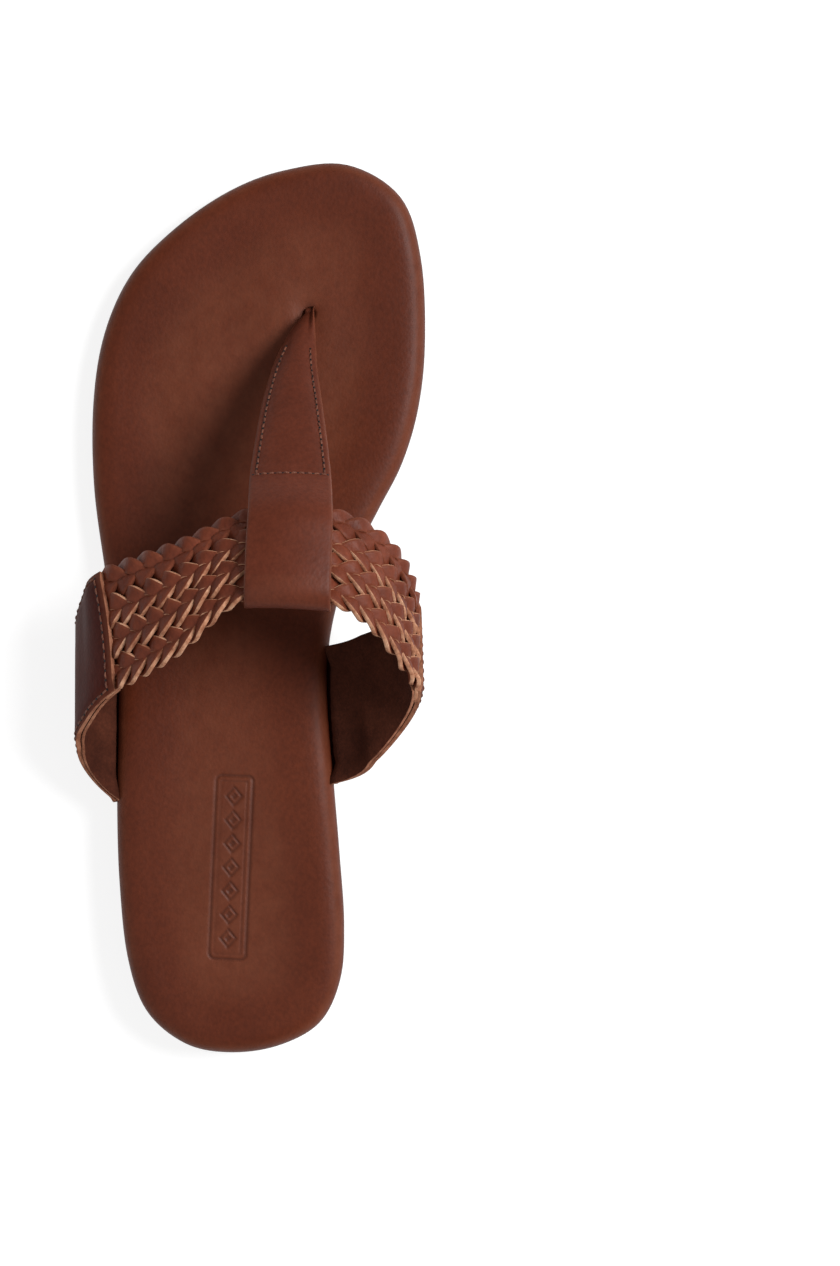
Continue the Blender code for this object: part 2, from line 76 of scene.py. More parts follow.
sandal = {
    "outline": [(1, 0), (15, 2.4), (26.8, 9.5), (32.2, 22), (32.6, 38), (30.4, 58), (27.6, 80),
                (24.8, 103), (25, 121), (29.2, 139), (36.8, 156), (43.4, 170.5), (47.4, 187),
                (48.4, 206), (46.2, 229), (39.6, 246), (24, 254.3), (6, 252), (-9.5, 245.5),
                (-24.5, 234.5), (-36.6, 221), (-43.6, 204), (-46, 184), (-44.8, 160), (-40.6, 136),
                (-36, 113), (-34.2, 90), (-33.4, 68), (-31.8, 47), (-28.6, 26), (-22.6, 11),
                (-11.5, 2.2)],
    "heelLift": 6.0, "toeSpring": 4.5,
    # strap stations from the outer side to the inner side, rear edge then front edge
    "strap": [((-42.6, 85, 25), (-44.4, 121, 22)), ((-39.4, 94, 34), (-42.0, 129, 30)),
              ((-31.2, 102.5, 42.5), (-37.3, 134.7, 36.5)), ((-14, 113.2, 54), (-16, 142.9, 47.5)),
              ((1, 127, 60.2), (0.6, 151.3, 52)), ((15, 129.3, 62), (14.5, 154, 54)),
              ((28, 128, 60.8), (29, 152.4, 52)), ((37.5, 122.3, 56.4), (40.3, 146.6, 46.5)),
              ((46, 112.8, 50), (46.6, 138.4, 40)), ((50.2, 105.8, 42.5), (48.4, 130.6, 32.5)),
              ((47.6, 97, 33), (43.8, 124.6, 23.5)), ((38.6, 84.8, 24), (34.2, 120.2, 17.5))],
    "outerFoot": (71.0, 126.0), "innerFoot": (78.0, 117.0), "strapCrown": 1.5, "sideFullness": 1.8,
    "bendFrom": 162.0, "bendTo": 199.0,  # where the sole curves as the toes lift
    "strapBendFrom": 163.0, "strapBendTo": 211.0,
}
outerEnd, innerEnd = 4.0, 11.0  # strap stations where the plaits come out of the leather sides


def smoothStep(x):
    x = np.clip(x, 0.0, 1.0)
    return x * x * (3 - 2 * x)


def groundLine(y):
    y = np.asarray(y, float)
    heel = sandal["heelLift"] * (1 - smoothStep((y - 68) / 62))
    return heel + sandal["toeSpring"] * np.clip((y - 198) / 57, 0, 1) ** 2


def curveThrough(points, t):
    p = np.asarray(points, float)
    p = np.concatenate([[2 * p[0] - p[1]], p, [2 * p[-1] - p[-2]]])
    t = np.clip(np.asarray(t, float), 0, len(points) - 1 - 1e-9)
    i = t.astype(int)
    f = (t - i)[:, None]
    a, b, c, d = p[i], p[i + 1], p[i + 2], p[i + 3]
    return 0.5 * (2 * b + (c - a) * f + (2 * a - 5 * b + 4 * c - d) * f**2 + (3 * b - a - 3 * c + d) * f**3)


def lengthAlong(points):
    return np.concatenate([[0], np.cumsum(np.linalg.norm(np.diff(points, axis=0), axis=1))])


def evenly(points, count):
    p = np.asarray(points, float)
    length = lengthAlong(p)
    at = np.linspace(0, length[-1], count)
    return np.stack([np.interp(at, length, p[:, k]) for k in range(p.shape[1])], axis=1)


def unit(vectors):
    return vectors / np.maximum(np.linalg.norm(vectors, axis=-1, keepdims=True), 1e-9)


def soleEdge(inset, perPoint=8):
    n = len(sandal["outline"])
    closed = sandal["outline"][-2:] + sandal["outline"] + sandal["outline"][:3]
    ring = curveThrough(closed, 2 + np.arange(n * perPoint) / perPoint)
    along = unit(np.roll(ring, -1, axis=0) - np.roll(ring, 1, axis=0))
    return ring + inset * np.stack([-along[:, 1], along[:, 0]], axis=1)


def edgeDistance(points):
    # how far each point lies from the sole's outline
    edge = soleEdge(0.0, 4)
    return np.concatenate([np.linalg.norm(chunk[:, None] - edge[None], axis=2).min(1)
                           for chunk in np.array_split(points[:, :2], max(1, len(points) // 3000))])


def strapStations(v):
    found = []
    for side, foot, steps in ((-1, sandal["outerFoot"], ((1.7, 6.3), (2.1, 10.5))),
                              (1, sandal["innerFoot"], ((3.0, 10.5), (1.9, 6.3)))):
        if side > 0:
            found += [tuple(np.array(rear) * (1 - v) + np.array(front) * v)
                      for rear, front in sandal["strap"]]
        tucked = 0.25 + 0.75 * float(smoothStep(min(v, 1 - v) / 0.16))  # the corners go in under the footbed
        y = foot[0] + v * (foot[1] - foot[0])
        found += [besideSole(side, y, out * tucked - 0.4 * (1 - tucked), z) for out, z in steps]
    return found


def besideSole(side, y, out, z):
    ring, moved = soleEdge(0.0), soleEdge(-out)
    index = np.argmin(np.abs(ring[:, 1] - y) + 1e3 * (ring[:, 0] * side <= 0))
    return moved[index][0], y, z + float(groundLine(y))


def strapLine(ts, v):
    ts = np.asarray(ts, float)
    line = curveThrough(strapStations(v), ts)
    along = curveThrough(strapStations(v), ts + 1e-3) - curveThrough(strapStations(v), ts - 1e-3)
    ahead, behind = strapStations(min(v + 0.02, 1)), strapStations(max(v - 0.02, 0))
    wide = curveThrough(ahead, ts) - curveThrough(behind, ts)
    normal = unit(np.cross(along, wide))
    crown = sandal["strapCrown"] * smoothStep((ts - 3) / 2) * smoothStep((10 - ts) / 2)
    last = len(sandal["strap"]) + 3
    full = np.sin(math.pi * np.clip(ts - 1, 0, 1)) + np.sin(math.pi * np.clip(last - 1 - ts, 0, 1))
    line[:, 0] += np.where(ts < 7, -1, 1) * full * sandal["sideFullness"] * (1 - 0.5 * v)
    return line + normal * (crown * (1 - (2 * v - 1) ** 2))[:, None], normal


def makeObject(name, points, faces, materials, kinds=None):
    mesh = bpy.data.meshes.new(name)
    moved = (np.asarray(points, float) + shift) * mm
    mesh.from_pydata(moved.tolist(), [], [tuple(int(i) for i in f) for f in faces])
    for look in materials:
        mesh.materials.append(look)
    if kinds is not None:
        mesh.polygons.foreach_set("material_index", list(kinds))
    mesh.update()
    mesh.validate()
    obj = bpy.data.objects.new(name, mesh)
    bpy.context.scene.collection.objects.link(obj)
    faceOut(obj)
    mesh.shade_smooth()
    return obj


def faceOut(obj):
    work = bmesh.new()
    work.from_mesh(obj.data)
    bmesh.ops.recalc_face_normals(work, faces=work.faces[:])
    work.to_mesh(obj.data)
    work.free()


def paint(obj, name, values):
    attribute = obj.data.attributes.new(name, "FLOAT", "POINT")
    attribute.data.foreach_set("value", np.asarray(values, np.float32))


def applyModifiers(obj):
    graph = bpy.context.evaluated_depsgraph_get()
    mesh = bpy.data.meshes.new_from_object(obj.evaluated_get(graph))
    obj.modifiers.clear()
    old, obj.data = obj.data, mesh
    name = old.name
    bpy.data.meshes.remove(old)
    mesh.name = name


def blendSole(obj):
    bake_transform(obj)


def gridOver(x0, y0, x1, y1, step):
    return np.stack(np.meshgrid(np.arange(x0, x1, step), np.arange(y0, y1, step)), -1).reshape(-1, 2)


def fillRing(ring, step, fineAreas=(), loops=()):
    # points spread inside a ring and joined into triangles, with finer areas and with holes
    ring = np.asarray(ring, float)
    low, high = ring.min(0), ring.max(0)
    spots = gridOver(*low, *high, step)
    spots[:, 0] += (np.round((spots[:, 1] - low[1]) / step) % 2) * step / 2
    for x0, y0, x1, y1, fine in fineAreas:
        inside = (spots[:, 0] > x0) & (spots[:, 0] < x1) & (spots[:, 1] > y0) & (spots[:, 1] < y1)
        spots = np.concatenate([spots[~inside], gridOver(x0, y0, x1, y1, fine)])
    a, b = ring, np.roll(ring, -1, axis=0)
    keep = []
    for chunk in np.array_split(spots, max(1, len(spots) // 4000)):
        d = chunk[:, None] - a[None]
        edge = (b - a)[None]
        t = np.clip((d * edge).sum(2) / (edge**2).sum(2), 0, 1)
        far = np.linalg.norm(d - edge * t[:, :, None], axis=2).min(1)
        crosses = (a[None, :, 1] > chunk[:, None, 1]) != (b[None, :, 1] > chunk[:, None, 1])
        rise = np.where(np.abs(edge[..., 1]) < 1e-9, 1e-9, edge[..., 1])
        at = a[None, :, 0] + (chunk[:, None, 1] - a[None, :, 1]) * edge[..., 0] / rise
        within = (crosses & (chunk[:, None, 0] < at)).sum(1) % 2 == 1
        near = np.ones(len(chunk), bool)
        for loop in loops:
            centre = loop.mean(0)
            reach = np.linalg.norm(loop - centre, axis=1).max() + 0.3
            near &= np.linalg.norm(chunk - centre, axis=1) > reach
        keep.append(chunk[within & (far > step * 0.45) & near])
    spots = np.concatenate(keep)
    edges = [(i, (i + 1) % len(ring)) for i in range(len(ring))]
    everything = np.concatenate([ring, spots, *loops])
    first = len(ring) + len(spots)
    for loop in loops:
        edges += [(first + i, first + (i + 1) % len(loop)) for i in range(len(loop))]
        first += len(loop)
    made = geometry.delaunay_2d_cdt([Vector(p) for p in everything], edges, [], 1, 1e-6)
    origin = [o[0] if o else -1 for o in made[3]]
    faces = [tuple(origin[i] for i in f) for f in made[2]]
    for loop in loops:
        centre, reach = loop.mean(0), np.ptp(loop, axis=0) / 2
        faces = [f for f in faces if (((everything[list(f)].mean(0) - centre) / reach) ** 2).sum() > 0.98]
    return everything, [f for f in faces if -1 not in f]


def joinRings(firstIndex, nextIndex, count):
    return [(firstIndex + i, firstIndex + (i + 1) % count, nextIndex + (i + 1) % count, nextIndex + i)
            for i in range(count)]


def stackedRings(rings, ends):
    # joins rings of equal count, then fills the end rings: which ring, its height, step, fine areas and holes
    count = len(rings[0])
    points, faces = list(rings), []
    for level in range(len(rings) - 1):
        faces += joinRings(level * count, (level + 1) * count, count)
    total = len(rings) * count
    for level, height, step, areas, holes in ends:
        flat, inner = fillRing(rings[level][:, :2], step, areas, holes)
        extra = flat[count:]
        z = height(extra) if height else np.full(len(extra), rings[level][0, 2])
        points.append(np.column_stack([extra, z]))
        faces += [[level * count + i if i < count else total + i - count for i in f] for f in inner]
        total += len(extra)
    return np.concatenate(points), faces


def soleLayer(name, levels, materials, top=None, bottom=None, step=3.0, topAreas=(), loops=(), close=True):
    # each level is an inset from the outline and a height, which is a number or a function of the ring
    rings = []
    for inset, height in levels:
        edge = soleEdge(inset)
        z = height(edge) if callable(height) else np.full(len(edge), height)
        rings.append(np.column_stack([edge, z]))
    ends = [(len(rings) - 1, top, step, topAreas, loops)]
    if close:
        ends.append((0, bottom, step, (), ()))
    points, faces = stackedRings(rings, ends)
    points[:, 2] += groundLine(points[:, 1])
    return makeObject(name, points, faces, materials)


def emptyMaterial(name):
    material = bpy.data.materials.new(name)
    material.use_nodes = True
    material.node_tree.nodes.clear()
    return material, material.node_tree.nodes, material.node_tree.links


def grainLeather(name, look):
    # smooth full-grain leather: dyed tone, pores, fine creases, a lighter mix for edge wear and painted
    # highlight, and a darker mix for stamping and painted shade
    material, nodes, links = emptyMaterial(name)

    tone = nodes.new("NodeFrame")
    tone.label = "Dyed tone"
    rubbedAndHighlit = nodes.new("NodeFrame")
    rubbedAndHighlit.label = "Rubbed_and_highlit and pressed places"
    grain = nodes.new("NodeFrame")
    grain.label = "Pores and creases"
    gloss = nodes.new("NodeFrame")
    gloss.label = "Finish"

    output = nodes.new("ShaderNodeOutputMaterial")
    output.label = "Leather"
    output.location = (1500, 0)
    shader = nodes.new("ShaderNodeBsdfPrincipled")
    shader.label = "Leather face"
    shader.location = (1200, 0)
    place = nodes.new("ShaderNodeTexCoord")
    place.label = "On the hide"
    place.location = (-1400, 0)
    stretch = nodes.new("ShaderNodeMapping")
    stretch.label = "Grain direction"
    stretch.location = (-1200, 0)
    stretch.inputs["Rotation"].default_value = (0.2, 0.1, look["grainTurn"])
    stretch.inputs["Scale"].default_value = (1.0, 0.82, 1.0)

    patches = nodes.new("ShaderNodeTexNoise")
    patches.label = "Cloudy dye"
    patches.inputs["Scale"].default_value = look["patchScale"]
    patches.inputs["Detail"].default_value = 5.0
    patches.inputs["Roughness"].default_value = 0.58
    toneRamp = nodes.new("ShaderNodeValToRGB")
    toneRamp.label = "Dark to light dye"
    toneRamp.color_ramp.elements[0].position = 0.30
    toneRamp.color_ramp.elements[0].color = (*look["dark"], 1)
    toneRamp.color_ramp.elements[1].position = 0.72
    toneRamp.color_ramp.elements[1].color = (*look["light"], 1)
    midTone = toneRamp.color_ramp.elements.new(0.5)
    midTone.color = (*look["colour"], 1)
    flecks = nodes.new("ShaderNodeTexNoise")
    flecks.label = "Fine flecks"
    flecks.inputs["Scale"].default_value = 900.0
    flecks.inputs["Detail"].default_value = 3.0
    fleckRange = nodes.new("ShaderNodeMapRange")
    fleckRange.label = "Fleck strength"
    fleckRange.inputs["From Min"].default_value = 0.3
    fleckRange.inputs["From Max"].default_value = 0.7
    fleckRange.inputs["To Min"].default_value = 0.86
    fleckRange.inputs["To Max"].default_value = 1.12
    fleckMix = nodes.new("ShaderNodeMix")
    fleckMix.label = "Flecks in the dye"
    fleckMix.data_type = "RGBA"
    fleckMix.blend_type = "MULTIPLY"
    fleckMix.inputs["Factor"].default_value = 1.0
    for node, spot in ((patches, (-900, 500)), (toneRamp, (-700, 500)), (flecks, (-900, 250)),
                       (fleckRange, (-700, 250)), (fleckMix, (-450, 400))):
        node.location = spot
        node.parent = tone

    # lighter mix: edge wear, plus painted highlight along the footbed's rim and on the T-strap's fold
    rubHighlightMark = nodes.new("ShaderNodeAttribute")
    rubHighlightMark.label = "Where it is rubbed"
    rubHighlightMark.attribute_name = "rubAndHighlight"
    rubHighlightBreak = nodes.new("ShaderNodeTexNoise")
    rubHighlightBreak.label = "Uneven rubbing_and_highlight"
    rubHighlightBreak.inputs["Scale"].default_value = 260.0
    rubHighlightBreak.inputs["Detail"].default_value = 4.0
    rubHighlightAmount = nodes.new("ShaderNodeMath")
    rubHighlightAmount.label = "Broken rubbing_and_highlight"
    rubHighlightAmount.operation = "MULTIPLY"
    rubHighlightMix = nodes.new("ShaderNodeMix")
    rubHighlightMix.label = "Rubbed_and_highlit edge"
    rubHighlightMix.data_type = "RGBA"
    rubHighlightMix.inputs["B"].default_value = (*look["rubbedAndHighlit"], 1)
    # darker mix: the blind stamp, plus painted shade under the footbed's turned edge, round the post slot and
    # at the post's foot
    pressedShadeMark = nodes.new("ShaderNodeAttribute")
    pressedShadeMark.label = "Where it is pressed"
    pressedShadeMark.attribute_name = "pressed_and_shaded"
    pressedShadeMix = nodes.new("ShaderNodeMix")
    pressedShadeMix.label = "Darker when pressed"
    pressedShadeMix.data_type = "RGBA"
    pressedShadeMix.inputs["B"].default_value = (*look["pressed_and_shaded"], 1)
    for node, spot in ((rubHighlightMark, (-900, 0)), (rubHighlightBreak, (-900, -180)), (rubHighlightAmount, (-650, -60)),
                       (rubHighlightMix, (-250, 300)), (pressedShadeMark, (-450, -200)), (pressedShadeMix, (0, 250))):
        node.location = spot
        node.parent = rubbedAndHighlit

    pores = nodes.new("ShaderNodeTexVoronoi")
    pores.label = "Pores"
    pores.feature = "SMOOTH_F1"
    pores.inputs["Scale"].default_value = look["poreScale"]
    pores.inputs["Smoothness"].default_value = 0.6
    poreBump = nodes.new("ShaderNodeBump")
    poreBump.label = "Pore depth"
    poreBump.inputs["Strength"].default_value = look["poreDepth"]
    poreBump.inputs["Distance"].default_value = 0.00025
    hair = nodes.new("ShaderNodeTexNoise")
    hair.label = "Fine grain"
    hair.inputs["Scale"].default_value = 2600.0
    hair.inputs["Detail"].default_value = 2.0
    hairBump = nodes.new("ShaderNodeBump")
    hairBump.label = "Fine grain depth"
    hairBump.inputs["Strength"].default_value = 0.18
    hairBump.inputs["Distance"].default_value = 0.0001
    creases = nodes.new("ShaderNodeTexNoise")
    creases.label = "Creases"
    creases.inputs["Scale"].default_value = look["creaseScale"]
    creases.inputs["Detail"].default_value = 6.0
    creases.inputs["Distortion"].default_value = 1.4
    creaseRamp = nodes.new("ShaderNodeValToRGB")
    creaseRamp.label = "Only the folds"
    creaseRamp.color_ramp.elements[0].position = 0.47
    creaseRamp.color_ramp.elements[1].position = 0.53
    creaseBump = nodes.new("ShaderNodeBump")
    creaseBump.label = "Crease depth"
    creaseBump.inputs["Strength"].default_value = look["creaseDepth"]
    creaseBump.inputs["Distance"].default_value = 0.0003
    for node, spot in ((pores, (-900, -450)), (poreBump, (500, -450)), (hair, (-900, -700)),
                       (hairBump, (300, -600)), (creases, (-900, -950)), (creaseRamp, (-650, -950)),
                       (creaseBump, (100, -800))):
        node.location = spot
        node.parent = grain

    sheen = nodes.new("ShaderNodeTexNoise")
    sheen.label = "Uneven finish"
    sheen.inputs["Scale"].default_value = 55.0
    sheen.inputs["Detail"].default_value = 4.0
    finish = nodes.new("ShaderNodeMapRange")
    finish.label = "Dull to waxed"
    finish.inputs["From Min"].default_value = 0.3
    finish.inputs["From Max"].default_value = 0.7
    finish.inputs["To Min"].default_value = look["roughness"] - 0.06
    finish.inputs["To Max"].default_value = look["roughness"] + 0.07
    for node, spot in ((sheen, (-900, -1250)), (finish, (-650, -1250))):
        node.location = spot
        node.parent = gloss
    shader.inputs["Specular IOR Level"].default_value = look["specular"]

    for texture in (patches, flecks, rubHighlightBreak, pores, hair, creases, sheen):
        links.new(stretch.outputs["Vector"], texture.inputs["Vector"])
    links.new(place.outputs["Object"], stretch.inputs["Vector"])
    links.new(patches.outputs["Fac"], toneRamp.inputs["Fac"])
    links.new(flecks.outputs["Fac"], fleckRange.inputs["Value"])
    links.new(toneRamp.outputs["Color"], fleckMix.inputs["A"])
    links.new(fleckRange.outputs["Result"], fleckMix.inputs["B"])
    links.new(rubHighlightMark.outputs["Fac"], rubHighlightAmount.inputs[0])
    links.new(rubHighlightBreak.outputs["Fac"], rubHighlightAmount.inputs[1])
    links.new(rubHighlightAmount.outputs["Value"], rubHighlightMix.inputs["Factor"])
    links.new(fleckMix.outputs["Result"], rubHighlightMix.inputs["A"])
    links.new(pressedShadeMark.outputs["Fac"], pressedShadeMix.inputs["Factor"])
    links.new(rubHighlightMix.outputs["Result"], pressedShadeMix.inputs["A"])
    links.new(pressedShadeMix.outputs["Result"], shader.inputs["Base Color"])
    links.new(pores.outputs["Distance"], poreBump.inputs["Height"])
    links.new(hair.outputs["Fac"], hairBump.inputs["Height"])
    links.new(creases.outputs["Fac"], creaseRamp.inputs["Fac"])
    links.new(creaseRamp.outputs["Color"], creaseBump.inputs["Height"])
    links.new(creaseBump.outputs["Normal"], hairBump.inputs["Normal"])
    links.new(hairBump.outputs["Normal"], poreBump.inputs["Normal"])
    links.new(poreBump.outputs["Normal"], shader.inputs["Normal"])
    links.new(sheen.outputs["Fac"], finish.inputs["Value"])
    links.new(finish.outputs["Result"], shader.inputs["Roughness"])
    links.new(shader.outputs["BSDF"], output.inputs["Surface"])
    return material


def fibreEdge(name, look):
    # a raw cut edge or a suede face: loose fibres, paler than the dyed grain side
    material, nodes, links = emptyMaterial(name)

    tone = nodes.new("NodeFrame")
    tone.label = "Fibre tone"
    nap = nodes.new("NodeFrame")
    nap.label = "Fibre depth"

    output = nodes.new("ShaderNodeOutputMaterial")
    output.label = "Fibres"
    output.location = (1000, 0)
    shader = nodes.new("ShaderNodeBsdfPrincipled")
    shader.label = "Fibre face"
    shader.location = (700, 0)
    place = nodes.new("ShaderNodeTexCoord")
    place.label = "On the hide"
    place.location = (-1200, 0)

    streaks = nodes.new("ShaderNodeTexNoise")
    streaks.label = "Dye soaked in"
    streaks.inputs["Scale"].default_value = look["streakScale"]
    streaks.inputs["Detail"].default_value = 6.0
    streaks.inputs["Roughness"].default_value = 0.65
    streakRamp = nodes.new("ShaderNodeValToRGB")
    streakRamp.label = "Dyed to raw"
    streakRamp.color_ramp.elements[0].position = 0.33
    streakRamp.color_ramp.elements[0].color = (*look["dark"], 1)
    streakRamp.color_ramp.elements[1].position = 0.66
    streakRamp.color_ramp.elements[1].color = (*look["light"], 1)
    midFibre = streakRamp.color_ramp.elements.new(0.48)
    midFibre.color = (*look["colour"], 1)
    specks = nodes.new("ShaderNodeTexVoronoi")
    specks.label = "Fibre bundles"
    specks.inputs["Scale"].default_value = look["fibreScale"]
    speckRange = nodes.new("ShaderNodeMapRange")
    speckRange.label = "Bundle strength"
    speckRange.inputs["To Min"].default_value = 1.1
    speckRange.inputs["To Max"].default_value = 0.72
    speckMix = nodes.new("ShaderNodeMix")
    speckMix.label = "Bundles in the tone"
    speckMix.data_type = "RGBA"
    speckMix.blend_type = "MULTIPLY"
    speckMix.inputs["Factor"].default_value = 1.0
    for node, spot in ((streaks, (-900, 300)), (streakRamp, (-650, 300)), (specks, (-900, 0)),
                       (speckRange, (-650, 0)), (speckMix, (-350, 200))):
        node.location = spot
        node.parent = tone

    fuzz = nodes.new("ShaderNodeTexNoise")
    fuzz.label = "Loose fibres"
    fuzz.inputs["Scale"].default_value = look["fibreScale"] * 1.6
    fuzz.inputs["Detail"].default_value = 5.0
    fuzzBump = nodes.new("ShaderNodeBump")
    fuzzBump.label = "Fibre relief"
    fuzzBump.inputs["Strength"].default_value = look["relief"]
    fuzzBump.inputs["Distance"].default_value = 0.0003
    for node, spot in ((fuzz, (-900, -350)), (fuzzBump, (-200, -350))):
        node.location = spot
        node.parent = nap
    shader.inputs["Roughness"].default_value = 0.92
    shader.inputs["Specular IOR Level"].default_value = 0.15
    shader.inputs["Sheen Weight"].default_value = look["sheen"]
    shader.inputs["Sheen Roughness"].default_value = 0.6
    shader.inputs["Sheen Tint"].default_value = (*look["light"], 1)

    for texture in (streaks, specks, fuzz):
        links.new(place.outputs["Object"], texture.inputs["Vector"])
    links.new(streaks.outputs["Fac"], streakRamp.inputs["Fac"])
    links.new(specks.outputs["Distance"], speckRange.inputs["Value"])
    links.new(streakRamp.outputs["Color"], speckMix.inputs["A"])
    links.new(speckRange.outputs["Result"], speckMix.inputs["B"])
    links.new(speckMix.outputs["Result"], shader.inputs["Base Color"])
    links.new(fuzz.outputs["Fac"], fuzzBump.inputs["Height"])
    links.new(fuzzBump.outputs["Normal"], shader.inputs["Normal"])
    links.new(shader.outputs["BSDF"], output.inputs["Surface"])
    return material


def mouldedStock(name, look):
    # outsole rubber, cork, insole board and foam: one base, chips or cells in it and a fine surface
    material, nodes, links = emptyMaterial(name)

    tone = nodes.new("NodeFrame")
    tone.label = "Base and chips"
    relief = nodes.new("NodeFrame")
    relief.label = "Surface"

    output = nodes.new("ShaderNodeOutputMaterial")
    output.label = "Sole stock"
    output.location = (1000, 0)
    shader = nodes.new("ShaderNodeBsdfPrincipled")
    shader.label = "Sole stock face"
    shader.location = (700, 0)
    place = nodes.new("ShaderNodeTexCoord")
    place.label = "In the block"
    place.location = (-1200, 0)

    chips = nodes.new("ShaderNodeTexVoronoi")
    chips.label = "Chips or cells"
    chips.inputs["Scale"].default_value = look["chipScale"]
    chipRamp = nodes.new("ShaderNodeValToRGB")
    chipRamp.label = "Base to chip"
    chipRamp.color_ramp.elements[0].position = 0.15
    chipRamp.color_ramp.elements[0].color = (*look["chip"], 1)
    chipRamp.color_ramp.elements[1].position = look["chipEdge"]
    chipRamp.color_ramp.elements[1].color = (*look["colour"], 1)
    dust = nodes.new("ShaderNodeTexNoise")
    dust.label = "Dust and scuffs"
    dust.inputs["Scale"].default_value = 70.0
    dust.inputs["Detail"].default_value = 7.0
    dustRange = nodes.new("ShaderNodeMapRange")
    dustRange.label = "How dusty"
    dustRange.inputs["From Min"].default_value = 0.48
    dustRange.inputs["From Max"].default_value = 0.8
    dustRange.inputs["To Max"].default_value = look["dusty"]
    dustMix = nodes.new("ShaderNodeMix")
    dustMix.label = "Dust on the base"
    dustMix.data_type = "RGBA"
    dustMix.inputs["B"].default_value = (*look["dust"], 1)
    for node, spot in ((chips, (-900, 300)), (chipRamp, (-650, 300)), (dust, (-900, 0)),
                       (dustRange, (-650, 0)), (dustMix, (-350, 200))):
        node.location = spot
        node.parent = tone

    pebble = nodes.new("ShaderNodeTexVoronoi")
    pebble.label = "Pebbled skin"
    pebble.inputs["Scale"].default_value = look["pebbleScale"]
    pebbleBump = nodes.new("ShaderNodeBump")
    pebbleBump.label = "Pebble depth"
    pebbleBump.inputs["Strength"].default_value = look["pebble"]
    pebbleBump.inputs["Distance"].default_value = 0.0003
    wear = nodes.new("ShaderNodeMapRange")
    wear.label = "Scuffed dull"
    wear.inputs["To Min"].default_value = look["roughness"]
    wear.inputs["To Max"].default_value = min(look["roughness"] + 0.15, 1.0)
    for node, spot in ((pebble, (-900, -350)), (pebbleBump, (-200, -350)), (wear, (-350, -150))):
        node.location = spot
        node.parent = relief
    shader.inputs["Specular IOR Level"].default_value = 0.35

    for texture in (chips, dust, pebble):
        links.new(place.outputs["Object"], texture.inputs["Vector"])
    links.new(chips.outputs["Distance"], chipRamp.inputs["Fac"])
    links.new(dust.outputs["Fac"], dustRange.inputs["Value"])
    links.new(dustRange.outputs["Result"], dustMix.inputs["Factor"])
    links.new(chipRamp.outputs["Color"], dustMix.inputs["A"])
    links.new(dustMix.outputs["Result"], shader.inputs["Base Color"])
    links.new(dust.outputs["Fac"], wear.inputs["Value"])
    links.new(wear.outputs["Result"], shader.inputs["Roughness"])
    links.new(pebble.outputs["Distance"], pebbleBump.inputs["Height"])
    links.new(pebbleBump.outputs["Normal"], shader.inputs["Normal"])
    links.new(shader.outputs["BSDF"], output.inputs["Surface"])
    return material


def waxedThread(name, look):
    # twisted sewing thread; the near-black discs at its needle holes are painted shade
    material, nodes, links = emptyMaterial(name)

    tone = nodes.new("NodeFrame")
    tone.label = "Thread tone"
    twist = nodes.new("NodeFrame")
    twist.label = "Twist"

    output = nodes.new("ShaderNodeOutputMaterial")
    output.label = "Thread"
    output.location = (1000, 0)
    shader = nodes.new("ShaderNodeBsdfPrincipled")
    shader.label = "Thread face"
    shader.location = (700, 0)
    place = nodes.new("ShaderNodeTexCoord")
    place.label = "Along the seam"
    place.location = (-1200, 0)

    shade = nodes.new("ShaderNodeTexNoise")
    shade.label = "Uneven dye"
    shade.inputs["Scale"].default_value = 420.0
    shade.inputs["Detail"].default_value = 3.0
    shadeRamp = nodes.new("ShaderNodeValToRGB")
    shadeRamp.label = "Thread colours"
    shadeRamp.color_ramp.elements[0].position = 0.35
    shadeRamp.color_ramp.elements[0].color = (*look["dark"], 1)
    shadeRamp.color_ramp.elements[1].position = 0.65
    shadeRamp.color_ramp.elements[1].color = (*look["light"], 1)
    # near-black at the needle holes: painted shade
    holeShadeMark = nodes.new("ShaderNodeAttribute")
    holeShadeMark.label = "Needle hole"
    holeShadeMark.attribute_name = "holeShade"
    holeShadeMix = nodes.new("ShaderNodeMix")
    holeShadeMix.label = "Dark hole"
    holeShadeMix.data_type = "RGBA"
    holeShadeMix.inputs["B"].default_value = (0.006, 0.003, 0.002, 1)
    for node, spot in ((shade, (-900, 300)), (shadeRamp, (-650, 300)), (holeShadeMark, (-650, 50)),
                       (holeShadeMix, (-350, 200))):
        node.location = spot
        node.parent = tone

    strands = nodes.new("ShaderNodeTexWave")
    strands.label = "Strands"
    strands.bands_direction = "DIAGONAL"
    strands.inputs["Scale"].default_value = 900.0
    strands.inputs["Distortion"].default_value = 1.5
    strandBump = nodes.new("ShaderNodeBump")
    strandBump.label = "Strand depth"
    strandBump.inputs["Strength"].default_value = 0.5
    strandBump.inputs["Distance"].default_value = 0.0002
    for node, spot in ((strands, (-900, -300)), (strandBump, (-200, -300))):
        node.location = spot
        node.parent = twist
    shader.inputs["Roughness"].default_value = 0.6
    shader.inputs["Specular IOR Level"].default_value = 0.3

    for texture in (shade, strands):
        links.new(place.outputs["Object"], texture.inputs["Vector"])
    links.new(shade.outputs["Fac"], shadeRamp.inputs["Fac"])
    links.new(shadeRamp.outputs["Color"], holeShadeMix.inputs["A"])
    links.new(holeShadeMark.outputs["Fac"], holeShadeMix.inputs["Factor"])
    links.new(holeShadeMix.outputs["Result"], shader.inputs["Base Color"])
    links.new(strands.outputs["Fac"], strandBump.inputs["Height"])
    links.new(strandBump.outputs["Normal"], shader.inputs["Normal"])
    links.new(shader.outputs["BSDF"], output.inputs["Surface"])
    return material
